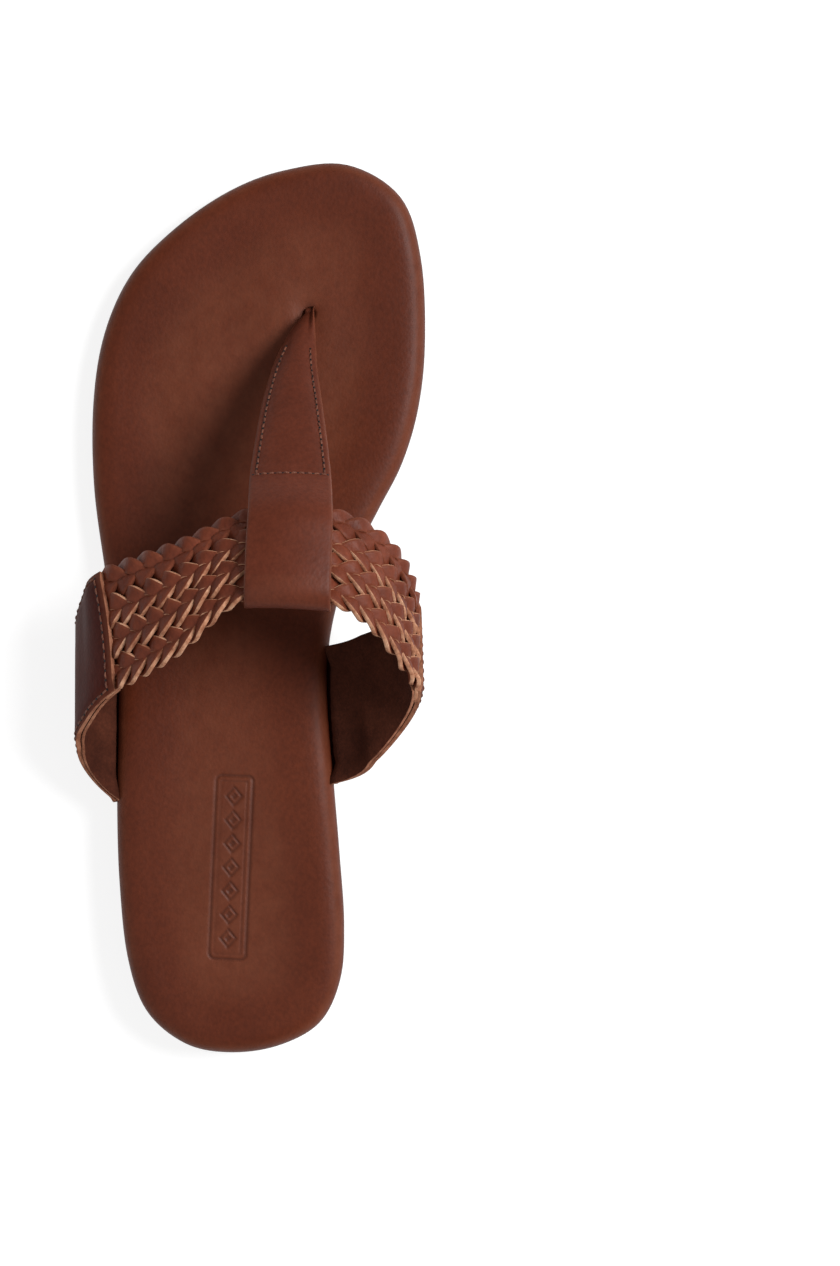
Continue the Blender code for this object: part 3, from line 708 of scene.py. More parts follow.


# the lighter colour mixes edge wear with painted highlight; the darker one mixes stamping with painted shade
leatherBase = {"grainTurn": 0.5, "patchScale": 34.0, "poreScale": 1250.0, "poreDepth": 0.16,
               "creaseScale": 60.0, "creaseDepth": 0.05, "roughness": 0.5, "specular": 0.15,
               "dark": (0.073, 0.0138, 0.0048), "colour": (0.087, 0.0168, 0.0060),
               "light": (0.102, 0.0210, 0.0078),
               "rubbedAndHighlit": (0.19, 0.06, 0.03), "pressed_and_shaded": (0.035, 0.009, 0.005)}
footbedLeather = grainLeather("footbedLeather", leatherBase)
# a darker copy of the footbed's leather: its extra darkness is painted shade for the shaded sides
shadedQuarterLeather = grainLeather("shadedQuarterLeather", {
    **leatherBase, "grainTurn": 1.1, "dark": (0.045, 0.0075, 0.0048), "colour": (0.056, 0.0098, 0.0062),
    "light": (0.070, 0.013, 0.0082), "specular": 0.05, "creaseDepth": 0.1})
strapLeather = grainLeather("strapLeather", {
    **leatherBase, "grainTurn": -0.3, "patchScale": 48.0, "dark": (0.082, 0.0170, 0.0074),
    "colour": (0.097, 0.0208, 0.0094), "light": (0.113, 0.0252, 0.0118), "creaseDepth": 0.08})
laceLeather = grainLeather("laceLeather", {
    **leatherBase, "grainTurn": 0.9, "patchScale": 110.0, "dark": (0.092, 0.0185, 0.0080),
    "colour": (0.125, 0.0265, 0.0118), "light": (0.165, 0.038, 0.0175), "creaseScale": 240.0,
    "creaseDepth": 0.22, "roughness": 0.52})
laceEdge = fibreEdge("laceRawEdge", {
    "streakScale": 260.0, "fibreScale": 1500.0, "relief": 0.5, "sheen": 0.1,
    "dark": (0.22, 0.075, 0.038), "colour": (0.41, 0.185, 0.105), "light": (0.60, 0.34, 0.215)})
dyedEdge = fibreEdge("laceDyedEdge", {
    "streakScale": 200.0, "fibreScale": 1500.0, "relief": 0.4, "sheen": 0.1,
    "dark": (0.10, 0.024, 0.011), "colour": (0.14, 0.036, 0.0175), "light": (0.20, 0.058, 0.030)})
strapEdge = fibreEdge("strapRawEdge", {
    "streakScale": 200.0, "fibreScale": 1500.0, "relief": 0.4, "sheen": 0.1,
    "dark": (0.15, 0.05, 0.026), "colour": (0.26, 0.10, 0.055), "light": (0.38, 0.17, 0.10)})
# the lining is darkened as painted shade for its shaded inside faces
shadedLiningSuede = fibreEdge("shadedLiningSuede", {
    "streakScale": 90.0, "fibreScale": 1100.0, "relief": 0.8, "sheen": 0.25,
    "dark": (0.040, 0.0092, 0.0042), "colour": (0.056, 0.0135, 0.0062), "light": (0.078, 0.020, 0.0095)})
soleRubber = mouldedStock("soleRubber", {
    "colour": (0.05, 0.024, 0.016), "chip": (0.035, 0.016, 0.011), "chipScale": 320.0, "chipEdge": 0.6,
    "dust": (0.16, 0.11, 0.08), "dusty": 0.5, "pebbleScale": 900.0, "pebble": 0.35, "roughness": 0.62})
fillerCork = mouldedStock("fillerCork", {
    "colour": (0.42, 0.26, 0.13), "chip": (0.20, 0.10, 0.05), "chipScale": 420.0, "chipEdge": 0.4,
    "dust": (0.5, 0.36, 0.2), "dusty": 0.4, "pebbleScale": 700.0, "pebble": 0.6, "roughness": 0.85})
boardStock = mouldedStock("boardStock", {
    "colour": (0.38, 0.27, 0.17), "chip": (0.30, 0.20, 0.12), "chipScale": 800.0, "chipEdge": 0.5,
    "dust": (0.5, 0.42, 0.3), "dusty": 0.3, "pebbleScale": 1800.0, "pebble": 0.25, "roughness": 0.85})
foamStock = mouldedStock("foamStock", {
    "colour": (0.62, 0.56, 0.44), "chip": (0.45, 0.40, 0.30), "chipScale": 1400.0, "chipEdge": 0.35,
    "dust": (0.7, 0.65, 0.5), "dusty": 0.2, "pebbleScale": 1400.0, "pebble": 0.7, "roughness": 0.9})
brownThread = waxedThread("brownThread", {"dark": (0.075, 0.021, 0.011), "light": (0.17, 0.058, 0.032)})
print("materials ready")

# footbed: leather lasted over foam and board
footbed = {
    # insets from the outline and heights, from the turned-under edge up to the rim
    "wall": [(11.4, 3.95), (7.0, 3.9), (3.0, 3.9), (1.2, 3.92), (0.45, 4.15), (0.1, 4.7), (0.0, 5.6),
             (0.0, 6.8), (0.02, 7.9), (0.2, 8.9), (0.6, 9.8), (1.2, 10.6), (2.0, 11.3), (3.0, 11.8),
             (4.2, 12.1), (5.6, 12.22), (7.2, 12.25)],
    "thick": 1.15, "dish": 0.7, "notch": 5.55, "step": 1.7, "turnedBelow": 5.5,
    "slotShift": (0.9, -0.6), "slotHalf": (1.35, 1.7),
    "stamp": {"x": (-5.2, 5.2), "y": (27.0, 79.0), "depth": 0.4, "line": 0.42, "diamonds": 7},
}


def raisedAtStraps(y, height):
    # the turned-under edge sits on the strap ends where they pass below it
    lift = np.zeros_like(y)
    for foot in (sandal["outerFoot"], sandal["innerFoot"]):
        beside = smoothStep((y - foot[0] + 3) / 3) * smoothStep((foot[1] + 3 - y) / 3)
        lift = np.maximum(lift, beside)
    return height + (footbed["notch"] - height) * lift


def stampDepth(x, y):
    # a blind-stamped slim frame with a row of small diamonds in it
    stamp = footbed["stamp"]
    midX, midY = sum(stamp["x"]) / 2, sum(stamp["y"]) / 2
    halfX, halfY = (stamp["x"][1] - stamp["x"][0]) / 2, (stamp["y"][1] - stamp["y"][0]) / 2
    corner = 1.5
    dx, dy = np.abs(x - midX) - (halfX - corner), np.abs(y - midY) - (halfY - corner)
    outside = np.hypot(np.maximum(dx, 0), np.maximum(dy, 0))
    frameGap = outside + np.minimum(np.maximum(dx, dy), 0) - corner
    depth = smoothStep(1.3 - np.abs(frameGap) / stamp["line"])
    inner = smoothStep(1.2 - np.abs(frameGap + 1.5) / (stamp["line"] * 0.6)) * 0.6
    pitch = (2 * halfY - 5.0) / stamp["diamonds"]
    along = (y - (midY - halfY + 2.5)) / pitch
    middle = (along - np.floor(along) - 0.5) * pitch
    span = (along > 0) & (along < stamp["diamonds"])
    diamond = np.abs(x - midX) / 2.3 + np.abs(middle) / (pitch * 0.40)
    outlineOf = smoothStep(1.3 - np.abs(diamond - 0.95) * 5.0) * span
    heart = smoothStep((0.42 - diamond) * 6 + 0.5) * span
    return np.clip(np.maximum.reduce([depth, inner, outlineOf, heart * 0.9]), 0, 1)


def footbedTop(points):
    x, y = points[:, 0], points[:, 1]
    far = edgeDistance(points)
    dish = footbed["dish"] * smoothStep((far - 6) / 18)
    ballHollow = 0.35 * np.exp(-(((x + 6) / 26) ** 2 + ((y - 186) / 22) ** 2))
    heelHollow = 0.35 * np.exp(-(((x - 2) / 20) ** 2 + ((y - 42) / 28) ** 2))
    soft = np.array([noise.noise(Vector((a / 16, b / 16, 3.1))) for a, b in zip(x, y)]) * 0.10
    pulled = 0.9 * np.exp(-(((x - drawnPost[0]) / 3.6) ** 2 + ((y - drawnPost[1]) / 4.4) ** 2))
    rest = 12.25 - dish - ballHollow - heelHollow + soft * smoothStep((far - 7) / 5) - pulled
    return rest - footbed["stamp"]["depth"] * stampDepth(x, y)


slotTurn = np.linspace(0, 2 * math.pi, 28, endpoint=False)
slotX, slotY = drawnPost[0] + footbed["slotShift"][0], drawnPost[1] + footbed["slotShift"][1]
postSlot = np.column_stack([slotX + footbed["slotHalf"][0] * np.cos(slotTurn),
                            slotY + footbed["slotHalf"][1] * np.sin(slotTurn)])
(stampX0, stampX1), (stampY0, stampY1) = footbed["stamp"]["x"], footbed["stamp"]["y"]
fineAreas = [(stampX0 - 1.2, stampY0 - 1.2, stampX1 + 1.2, stampY1 + 1.2, 0.42),
             (drawnPost[0] - 7, drawnPost[1] - 8, drawnPost[0] + 7, drawnPost[1] + 8, 0.8)]
wallRings = []
for inset, height in footbed["wall"]:
    if height < footbed["turnedBelow"]:  # the turned-under part
        wallRings.append((inset, lambda edge, height=height: raisedAtStraps(edge[:, 1], height)))
    else:
        wallRings.append((inset, height))
footbedCover = soleLayer("footbedCover", wallRings, [footbedLeather], top=footbedTop, step=footbed["step"],
                         close=False, topAreas=fineAreas, loops=[postSlot])
skin = footbedCover.modifiers.new("leatherThickness", "SOLIDIFY")
skin.thickness = footbed["thick"] * mm
skin.offset = -1
applyModifiers(footbedCover)
places = np.array([v.co for v in footbedCover.data.vertices]) / mm - shift
heights = places[:, 2] - groundLine(places[:, 1])
# painted highlight along the rounded rim, mixed with rim wear
rim = smoothStep((heights - 8.6) / 1.4) * smoothStep((12.1 - heights) / 0.9)
paint(footbedCover, "rubAndHighlight", rim * 0.5)
# darker mix: the stamp lines, plus painted shade under the turned edge and round the post slot
nearSlot = np.hypot((places[:, 0] - slotX) / 2.2, (places[:, 1] - slotY) / 2.8)
inStamp = 0.55 * stampDepth(places[:, 0], places[:, 1]) * (heights > 9)
turnedUnderShade = 0.75 * smoothStep(5.2 - heights)
slotShade = 0.7 * smoothStep(1.35 - nearSlot) * (heights > 6)
paint(footbedCover, "pressed_and_shaded", inStamp + turnedUnderShade + slotShade)
blendSole(footbedCover)
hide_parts("insole_cover_rear", "insole_cover_fore")
print("footbed done")

# layers inside the footbed
innerLayers = [
    ("footbedFoam", [(2.0, 8.05), (1.7, 8.3), (1.7, 9.0), (2.6, 9.8), (4.2, 10.25), (6.5, 10.35)], foamStock,
     "foam", ("foam_cushion_rear", "foam_cushion_fore"), 0.6),
    ("insoleBoard", [(1.9, 5.6), (1.65, 5.8), (1.65, 7.5), (1.9, 7.7)], boardStock,
     "insole_board", ("insole_board_rear", "insole_board_fore"), 0.0),
    ("bottomFiller", [(12.6, 3.85), (12.3, 4.0), (12.3, 5.0), (12.6, 5.15)], fillerCork,
     "filler_cork", ("bottom_filler_rear", "bottom_filler_fore"), 0.0),
]
for name, rings, look, slotName, nodeNames, dish in innerLayers:
    topHeight = rings[-1][1]
    layer = soleLayer(name, rings, [look], step=4.5, loops=[],
                      top=lambda p, h=topHeight, d=dish: h - d * smoothStep(1 - np.abs(p[:, 0]) / 40))
    blendSole(layer)
    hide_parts(*nodeNames)

# outsole and heel lift
tread = {"bars": [142, 154, 166, 192, 204, 216, 228], "heelBars": [14, 26, 38, 50], "wide": 1.8, "deep": 1.0,
         "border": 5.0, "breast": 63.0, "plainFrom": 60.0, "step": 1.3}


def grooveDepth(points, bars):
    x, y = points[:, 0], points[:, 1]
    far = edgeDistance(points)
    depth = np.zeros(len(points))
    for bar in bars:
        wave = bar + 1.6 * np.sin(x / 5.5)
        depth = np.maximum(depth, smoothStep((tread["wide"] / 2 + 0.25 - np.abs(y - wave - 0.9)) / 0.5))
    return tread["deep"] * depth * smoothStep((far - tread["border"]) / 1.2)


outsoleLevels = [(3.4, 0.0), (2.3, 0.06), (1.75, 0.3), (1.35, 0.85), (1.2, 1.6), (1.3, 1.85), (1.15, 2.1),
                 (1.05, 3.0), (1.1, 3.35), (1.6, 3.55)]
outsole = soleLayer("outsole", outsoleLevels, [soleRubber], step=tread["step"],
                    bottom=lambda points: grooveDepth(points, tread["bars"]))
blendSole(outsole)
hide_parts("outsole_rear", "outsole_fore")


def heelOutline(inset):
    # the back of the sole's outline, closed by a slightly hollow breast
    ring = soleEdge(inset)
    front = tread["breast"] - inset * 0.4
    behind = ring[:, 1] < front
    start = next(i for i in range(len(ring)) if behind[i] and not behind[i - 1])
    ordered = np.roll(ring, -start, axis=0)
    back = ordered[:int(behind.sum())]
    firstX = np.interp(front, ordered[[-1, 0], 1][::-1], ordered[[-1, 0], 0][::-1])
    back = evenly(np.concatenate([[(firstX, front)], back, [(back[-1][0], front)]]), 110)
    share = np.linspace(0, 1, 26)[1:-1]
    breast = back[-1] * (1 - share[:, None]) + back[0] * share[:, None]
    breast[:, 1] -= 2.2 * (1 - (2 * share - 1) ** 2)
    return np.concatenate([back, breast])


liftLevels = [(3.6, -6.0), (2.7, -5.95), (2.2, -5.7), (1.85, -5.2), (1.75, -4.6), (1.95, -4.35), (1.7, -4.1),
              (1.6, -3.0), (1.8, -2.75), (1.55, -2.5), (1.45, -0.9), (1.5, -0.45), (1.9, -0.3)]


def liftBottom(points):
    grooves = grooveDepth(points, tread["heelBars"])
    return liftLevels[0][1] + grooves * smoothStep((tread["plainFrom"] - points[:, 1]) / 3)


liftRings = []
for inset, z in liftLevels:
    outline = heelOutline(inset)
    liftRings.append(np.column_stack([outline, np.full(len(outline), z)]))
liftEnds = [(0, liftBottom, tread["step"], (), ()), (len(liftRings) - 1, None, 5.0, (), ())]
points, faces = stackedRings(liftRings, liftEnds)
points[:, 2] += sandal["heelLift"]
heelLift = makeObject("heelLift", points, faces, [soleRubber])
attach(heelLift, "rearfoot")
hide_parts("heel_lift")
print("sole done")

# leather sides and their suede linings
sides = {"leatherThick": 1.4, "liningThick": 1.0, "laceRoom": 1.5, "closed": 0.12, "edge": 0.28,
         "topBow": 0.10, "rubWidth": 0.08, "tucked": (-11.2, -8.5, -5.5, -2.5, -0.2), "tuckedHeight": 4.6,
         "seamInset": 1.7, "stitch": 2.6, "threadShare": 0.9, "seamRow": 22, "seamBelowTop": 4}


def sideGrid(side, layer, rows=60, columns=26, extra=0.0):
    # the middle surface of a side's leather or lining, as rows along the strap by columns across it
    last = len(sandal["strap"]) + 3
    first, top, sign = (0.0, outerEnd, -1) if side == "outer" else (float(last), innerEnd, 1)
    foot = sandal["outerFoot"] if sign < 0 else sandal["innerFoot"]
    lanes, laneNormals = [], []
    for v in np.linspace(0, 1, columns):
        bow = sides["topBow"] * (1 - (2 * v - 1) ** 2) * (1 if sign < 0 else -1)
        reach = np.linspace(0, 1, rows)
        ts = first + (top + bow - first) * reach
        line, normal = strapLine(ts, v)
        opened = smoothStep(reach * 1.6 - 0.35) * (0.05 + 0.95 * smoothStep(min(v, 1 - v) / 0.09))
        gap = sides["closed"] + (sides["laceRoom"] - sides["closed"]) * opened[:, None]
        if layer == "lining":
            lane, laneNormal = line - normal * (gap + sides["liningThick"]) / 2, normal
        else:
            lane, laneNormal = line + normal * (gap + sides["leatherThick"]) / 2, normal
            y = foot[0] + v * (foot[1] - foot[0])
            under = [besideSole(sign, y, out, sides["tuckedHeight"]) for out in sides["tucked"]]
            lane = np.concatenate([under, lane])
            lane = evenly(curveThrough(lane, np.linspace(0, len(lane) - 1, 240)), rows + 14)
            laneNormal = np.zeros_like(lane)
        lanes.append(lane)
        laneNormals.append(laneNormal)
    grid, normals = np.stack(lanes, axis=1), np.stack(laneNormals, axis=1)
    if layer != "lining":
        normals = unit(np.cross(np.gradient(grid, axis=0), np.gradient(grid, axis=1)))
        outward = np.stack([strapLine([top], v)[1][0] for v in np.linspace(0, 1, columns)])
        normals *= np.sign((normals[-1] * outward).sum())
    return grid + normals * extra, normals


def leatherSheet(name, grid, normals, thick, materials):
    # an even sheet with small rounded edges; its cut edge has the second material
    rows, columns = grid.shape[:2]
    cells = [(r * columns + c, r * columns + c + 1, (r + 1) * columns + c + 1, (r + 1) * columns + c)
             for r in range(rows - 1) for c in range(columns - 1)]
    obj = makeObject(name, grid.reshape(-1, 3), cells, materials)
    check = obj.data.polygons[len(cells) // 2]
    if Vector(normals[rows // 2, columns // 2]).dot(check.normal) < 0:
        obj.data.flip_normals()
    across = np.tile(np.linspace(0, 1, columns), rows)
    down = np.repeat(np.linspace(0, 1, rows), columns)
    fromSides, fromTop = np.minimum(across, 1 - across), (1 - down) / 0.6
    near = np.minimum(fromSides, fromTop) / sides["rubWidth"]
    paint(obj, "rubAndHighlight", 0.8 * smoothStep(1 - near))
    thicken = obj.modifiers.new("leatherThickness", "SOLIDIFY")
    thicken.thickness = thick * mm
    thicken.offset = 0
    thicken.material_offset_rim = 1
    soften = obj.modifiers.new("softEdges", "BEVEL")
    soften.width = sides["edge"] * mm
    soften.segments = 3
    soften.limit_method = "ANGLE"
    soften.angle_limit = math.radians(50)
    applyModifiers(obj)
    obj.data.shade_smooth()
    return obj


for side in ("outer", "inner"):
    grid, normals = sideGrid(side, "leather")
    quarter = leatherSheet(side + "Side", grid, normals, sides["leatherThick"], [shadedQuarterLeather, strapEdge])
    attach(quarter, "rearfoot")
    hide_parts(side + "_quarter")
    grid, normals = sideGrid(side, "lining", rows=46)
    lining = leatherSheet(side + "SideLining", grid, normals, sides["liningThick"], [shadedLiningSuede, strapEdge])
    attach(lining, "rearfoot")
    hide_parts(side + "_quarter_lining")
print("sides done")

# plaits: three flat laces each, pointing to the T-strap from both sides
plaits = {
    "count": 4, "laceShare": 0.60, "laceMost": 4.6, "thick": 1.3, "period": 18.4, "spread": 1.24,
    "phase": 0.12, "rise": 0.86, "lean": 0.34, "rearCurl": (0.46, 0.34, 0.26, -0.1), "frontCurl": -0.16,
    "uneven": 0.16, "tuck": 6.0, "turnSoft": 5.0, "step": 0.5,
}
laceSection = [(-1.0, -0.55), (-0.93, -0.95), (-0.5, -1.0), (0.0, -1.0), (0.5, -1.0), (0.93, -0.95),
               (1.0, -0.55), (1.02, 0.0), (1.0, 0.62), (0.94, 0.97), (0.5, 1.05), (0.0, 1.08),
               (-0.5, 1.05), (-0.94, 0.97), (-1.0, 0.62), (-1.02, 0.0)]
edgeFaces = {5, 6, 7, 8, 13, 14, 15, 0}  # the parts of the section that show a cut edge
sectionRub = [0.55 if abs(a) > 0.9 else 0.12 if abs(a) > 0.4 else 0.0 for a, b in laceSection]


def tubeThrough(name, rings, materials, kindOf=None):
    # a closed body through rings of points of equal count
    rows, count = rings.shape[:2]
    faces, kinds = [], []
    for r in range(rows - 1):
        faces += joinRings(r * count, (r + 1) * count, count)
        kinds += [kindOf(i) if kindOf else 0 for i in range(count)]
    faces += [tuple(range(count)), tuple(range((rows - 1) * count, rows * count))]
    kinds += [1 if kindOf else 0] * 2
    return makeObject(name, rings.reshape(-1, 3), faces, materials, kinds)


fine = np.linspace(3.0, 12.0, 901)
midLine = strapLine(fine, 0.5)[0]
alongStrap = lengthAlong(midLine)
tuckStart = np.interp(outerEnd, fine, alongStrap) - plaits["tuck"]
tuckEnd = np.interp(innerEnd, fine, alongStrap) + plaits["tuck"]
loopAt = np.interp(7.0, fine, alongStrap)
laceAt = np.arange(tuckStart, tuckEnd, plaits["step"])
laceTs = np.interp(laceAt, alongStrap, fine)
outOfSide = np.minimum(laceAt - tuckStart, tuckEnd - laceAt) - plaits["tuck"]
braided = smoothStep((outOfSide + 0.8) / 3.0)
heldAt = np.clip(laceAt, tuckStart + plaits["tuck"] + 0.5, tuckEnd - plaits["tuck"] - 0.5)
fromLoop = np.sqrt((heldAt - loopAt) ** 2 + plaits["turnSoft"] ** 2)
for plait in range(plaits["count"]):
    centre, normal = strapLine(laceTs, (plait + 0.5) / plaits["count"])
    run = np.gradient(centre, axis=0)
    across = unit(np.cross(normal, run))
    rearLine = strapLine(laceTs, plait / plaits["count"])[0]
    frontLine = strapLine(laceTs, (plait + 1) / plaits["count"])[0]
    width = ((frontLine - rearLine) * across).sum(1)
    across *= np.sign(width)[:, None]
    width = np.abs(width)
    wide = np.minimum(plaits["laceShare"] * width, plaits["laceMost"])
    swing = plait * plaits["phase"] - 2 * math.pi * fromLoop / plaits["period"]
    turns = [swing + lace * 2 * math.pi / 3 for lace in range(3)]
    ends = [[math.sin(turn[end]) for turn in turns] for end in (0, -1)]
    order = np.argsort(np.argsort(ends, axis=1), axis=1)  # how they lie side by side at the ends
    for lace, turn in enumerate(turns):
        wobble = np.array([noise.noise(Vector((s / 5.5, plait * 7.3, lace * 3.1))) for s in laceAt])
        reach = (width * plaits["spread"] - wide * 0.92) / 2
        wave = reach * (np.sin(turn) + 0.03 * np.sin(3 * turn)) + plaits["uneven"] * wobble
        rise = plaits["rise"] * (-np.sin(2 * turn)) * np.clip(width / 7.2, 0.9, 1.2) + 0.1 * wobble
        curl = np.where(np.sin(turn) < 0, plaits["rearCurl"][plait], plaits["frontCurl"])
        slope = -plaits["lean"] * np.cos(turn) + curl * np.sin(turn) ** 3
        lanes = np.where(laceAt < loopAt, order[0][lace] - 1.0, order[1][lace] - 1.0) * width * 0.33
        sideways = wave * braided + lanes * (1 - braided)
        path = centre + across * sideways[:, None] + normal * (rise * braided)[:, None]
        along = unit(np.gradient(path, axis=0))
        flat = np.cross(normal, along)
        flat = unit(flat * np.sign((flat * across).sum(1))[:, None])
        flat = flat + normal * (slope * braided)[:, None]
        flat = unit(flat - (flat * along).sum(1)[:, None] * along)
        out = np.cross(flat, along)
        out = out * np.sign((out * normal).sum(1))[:, None]
        halfWide = (wide / 2 * (0.56 + 0.44 * braided) * (1 + 0.05 * wobble))[:, None]
        halfThick = plaits["thick"] / 2 * (0.8 + 0.2 * braided)[:, None]
        ring = np.stack([path + flat * halfWide * a + out * halfThick * b for a, b in laceSection], axis=1)
        name = f"plait{plait + 1}Lace{'ABC'[lace]}"
        cutEdge = dyedEdge if plait == plaits["count"] - 1 else laceEdge
        strip = tubeThrough(name, ring, [laceLeather, cutEdge], lambda i: int(i in edgeFaces))
        paint(strip, "rubAndHighlight", np.tile(sectionRub, len(laceAt)))
        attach(strip, "rearfoot")
        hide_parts(f"lace_{plait + 1}{'abc'[lace]}")
print("plaits done")

# T-strap: one strip folded round the plaits, its two leaves sewn together
# each station is x, y, z, the strip's width and its crown
tStrap = {
    "path": [(15.1, 211.7, 10.4, 2.4, 0.5), (15.1, 211.3, 12.4, 2.6, 0.8), (14.6, 209.4, 15.3, 4.2, 1.5),
             (13.8, 206.2, 18.8, 6.9, 2.2), (13.0, 201.0, 23.1, 9.9, 2.6), (12.4, 194.5, 28.4, 12.8, 2.6),
             (12.5, 184, 36.0, 16.8, 2.4), (13.1, 173, 43.6, 19.8, 2.1), (13.7, 163, 50.6, 22.0, 1.8)],
    "thick": 1.3, "leafGap": 0.3, "clear": 3.3, "perStep": 9, "columns": 23, "loopWide": 23.0,
    "seamInset": 1.75, "groove": 0.16, "puff": 0.14, "stitch": 2.05,
    "tipCurl": 2.1, "tipFrom": 200.5, "tipAbove": 11.5,  # the inner edge of the tip curls up
}


def loopOver():
    # the folded end round the plaits: over them, round their rear edge and back under them
    rear, front = (strapLine([7.0], v)[0][0] for v in (0.0, 1.0))
    reach = float(np.linalg.norm(front - rear))
    run = (front - rear) / reach
    up = np.cross((1, 0, 0), run)
    clear = tStrap["clear"] + tStrap["thick"] / 2
    wide = tStrap["loopWide"]
    over = [(0.92, clear + 1.3, wide - 0.4, 1.7), (0.55, clear + 1.55, wide, 1.7),
            (0.2, clear + 1.0, wide, 1.6), (0.03, clear, wide, 1.5)]
    under = [(0.03, -clear, wide, 1.5), (0.3, -clear + 0.3, wide, 1.6),
             (0.62, -clear + 0.35, wide, 1.7), (0.93, -clear - 0.1, wide - 0.4, 1.7)]
    back = rear - run * (tStrap["thick"] / 2 + 1.0)
    turned = [(*(back + up * h), wide, 1.5) for h in (1.4, -1.4)]
    over = [(*(rear + run * (reach * a) + up * h), w, c) for a, h, w, c in over]
    under = [(*(rear + run * (reach * a) + up * h), w, c) for a, h, w, c in under]
    return over + turned + under, up


loopPoints, crownUp = loopOver()
topPath = tStrap["path"]
wholePath = topPath + loopPoints
steps = tStrap["perStep"]
topRows, wholeRows = steps * (len(topPath) - 1) + 1, steps * (len(wholePath) - 1) + 1
upperLeaf = curveThrough(wholePath, np.linspace(0, len(wholePath) - 1, wholeRows))
lowerLeaf = curveThrough(topPath, np.linspace(0, len(topPath) - 1, topRows)[::-1])
below = unit(np.cross((1, 0, 0), np.gradient(lowerLeaf[:, :3], axis=0)))
lowerLeaf[:, :3] -= below * (tStrap["thick"] + tStrap["leafGap"])
stripLine = np.concatenate([upperLeaf, lowerLeaf])
stripCentre, stripWide, stripCrown = stripLine[:, :3], stripLine[:, 3], stripLine[:, 4]
for easing in range(3):  # softens the step where the under side meets the lower leaf
    middle = (stripCentre[:-2] + 2 * stripCentre[1:-1] + stripCentre[2:]) / 4
    stripCentre = np.concatenate([stripCentre[:1], middle, stripCentre[-1:]])
stripAlong = unit(np.gradient(stripCentre, axis=0))
stripSide = unit(np.array([1.0, 0, 0]) - stripAlong * stripAlong[:, :1])
stripOut = np.cross(stripSide, stripAlong)
if stripOut[topRows // 2, 2] < 0:
    stripOut = -stripOut
columns = tStrap["columns"]
evenShare = np.linspace(-1, 1, columns)
shares = np.sin(evenShare * math.pi / 2) * 0.6 + evenShare * 0.4  # across the strip, closer at its edges
seamFrom, seamTo = 4 * steps - 2, topRows - 1
rings, rubs = [], []
for i in range(len(stripCentre)):
    w, c = stripWide[i], stripCrown[i]
    mid = stripCentre[i] + stripSide[i] * (shares * w / 2)[:, None] - crownUp * (shares**2 * c)[:, None]
    halfThick = np.full(columns, tStrap["thick"] / 2)
    toEdge = (1 - np.abs(shares)) * w / 2
    halfThick *= 0.62 + 0.38 * smoothStep(toEdge / 0.45)
    upper = halfThick.copy()
    if seamFrom < i < seamTo:
        fromSeam = toEdge - tStrap["seamInset"]
        upper -= tStrap["groove"] * np.exp(-(fromSeam / 0.45) ** 2)
        upper += tStrap["puff"] * smoothStep((fromSeam - 0.4) / 2.0)
    y, z = stripCentre[i][1:]
    atTip = smoothStep((y - tStrap["tipFrom"]) / 8.0) * (z > tStrap["tipAbove"])
    mid = mid + stripOut[i] * (tStrap["tipCurl"] * atTip * smoothStep((shares - 0.35) / 0.6))[:, None]
    above, beneath = mid + stripOut[i] * upper[:, None], mid - stripOut[i] * halfThick[:, None]
    rings.append(np.concatenate([above, beneath[::-1]]))
    nearEdge = smoothStep(1 - toEdge / 0.7)
    rubs.append(np.concatenate([0.75 * nearEdge, 0.3 * nearEdge[::-1]]))
tStrapObject = tubeThrough("tStrap", np.array(rings), [strapLeather, strapEdge],
                           lambda i: int(i in (columns - 1, 2 * columns - 1)))
# painted highlight on the fold at the back of the loop
foldHighlight = np.zeros((len(rings), 2 * columns))
foldHighlight[topRows + 3 * steps: topRows + 5 * steps] = 0.16
paint(tStrapObject, "rubAndHighlight", np.maximum(np.array(rubs), foldHighlight).reshape(-1))
blendSole(tStrapObject)
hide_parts("t_strap")

# toe post: the folded end of the strip going down through the footbed
# each level is x, y, z and the post's half sizes
postLevels = [(14.1, 212.2, 4.0, 6.4, 8.4), (14.1, 212.2, 4.9, 6.5, 8.5), (14.1, 212.2, 5.15, 6.2, 8.2),
              (14.1, 212.2, 5.25, 2.0, 2.8), (14.8, 211.8, 8.0, 1.25, 1.7), (15.0, 211.6, 10.6, 1.25, 1.65),
              (15.0, 211.4, 12.0, 1.2, 1.4), (15.0, 211.0, 12.8, 0.8, 0.9)]
postRows = curveThrough(postLevels, np.linspace(0, len(postLevels) - 1, 55))
postSides, corner = 32, 3.4
turn = np.linspace(0, 2 * math.pi, postSides, endpoint=False)
squared = 1 / (np.abs(np.cos(turn)) ** corner + np.abs(np.sin(turn)) ** corner) ** (1 / corner)
fromFold = np.angle(np.exp(1j * (turn + math.pi / 2)))
fold = 0.16 * np.exp(-((fromFold / 0.32) ** 2))  # the hollow where the strip is folded
postRings = []
for x, y, z, halfX, halfY in postRows:
    reach = squared * (1 - fold * (z > 5.4))
    postRings.append(np.column_stack([x + halfX * reach * np.cos(turn), y + halfY * reach * np.sin(turn),
                                      np.full(postSides, z + float(groundLine(y)))]))
toePost = tubeThrough("toePost", np.array(postRings), [strapLeather])
paint(toePost, "rubAndHighlight", np.repeat(smoothStep((postRows[:, 2] - 11) / 4) * 0.35, postSides))
# painted shade at the post's foot, down in the slot
paint(toePost, "pressed_and_shaded", np.repeat(smoothStep((12.6 - postRows[:, 2]) / 1.6) * 0.6, postSides))
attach(toePost, "forefoot")
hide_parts("toe_post")
print("T-strap done")

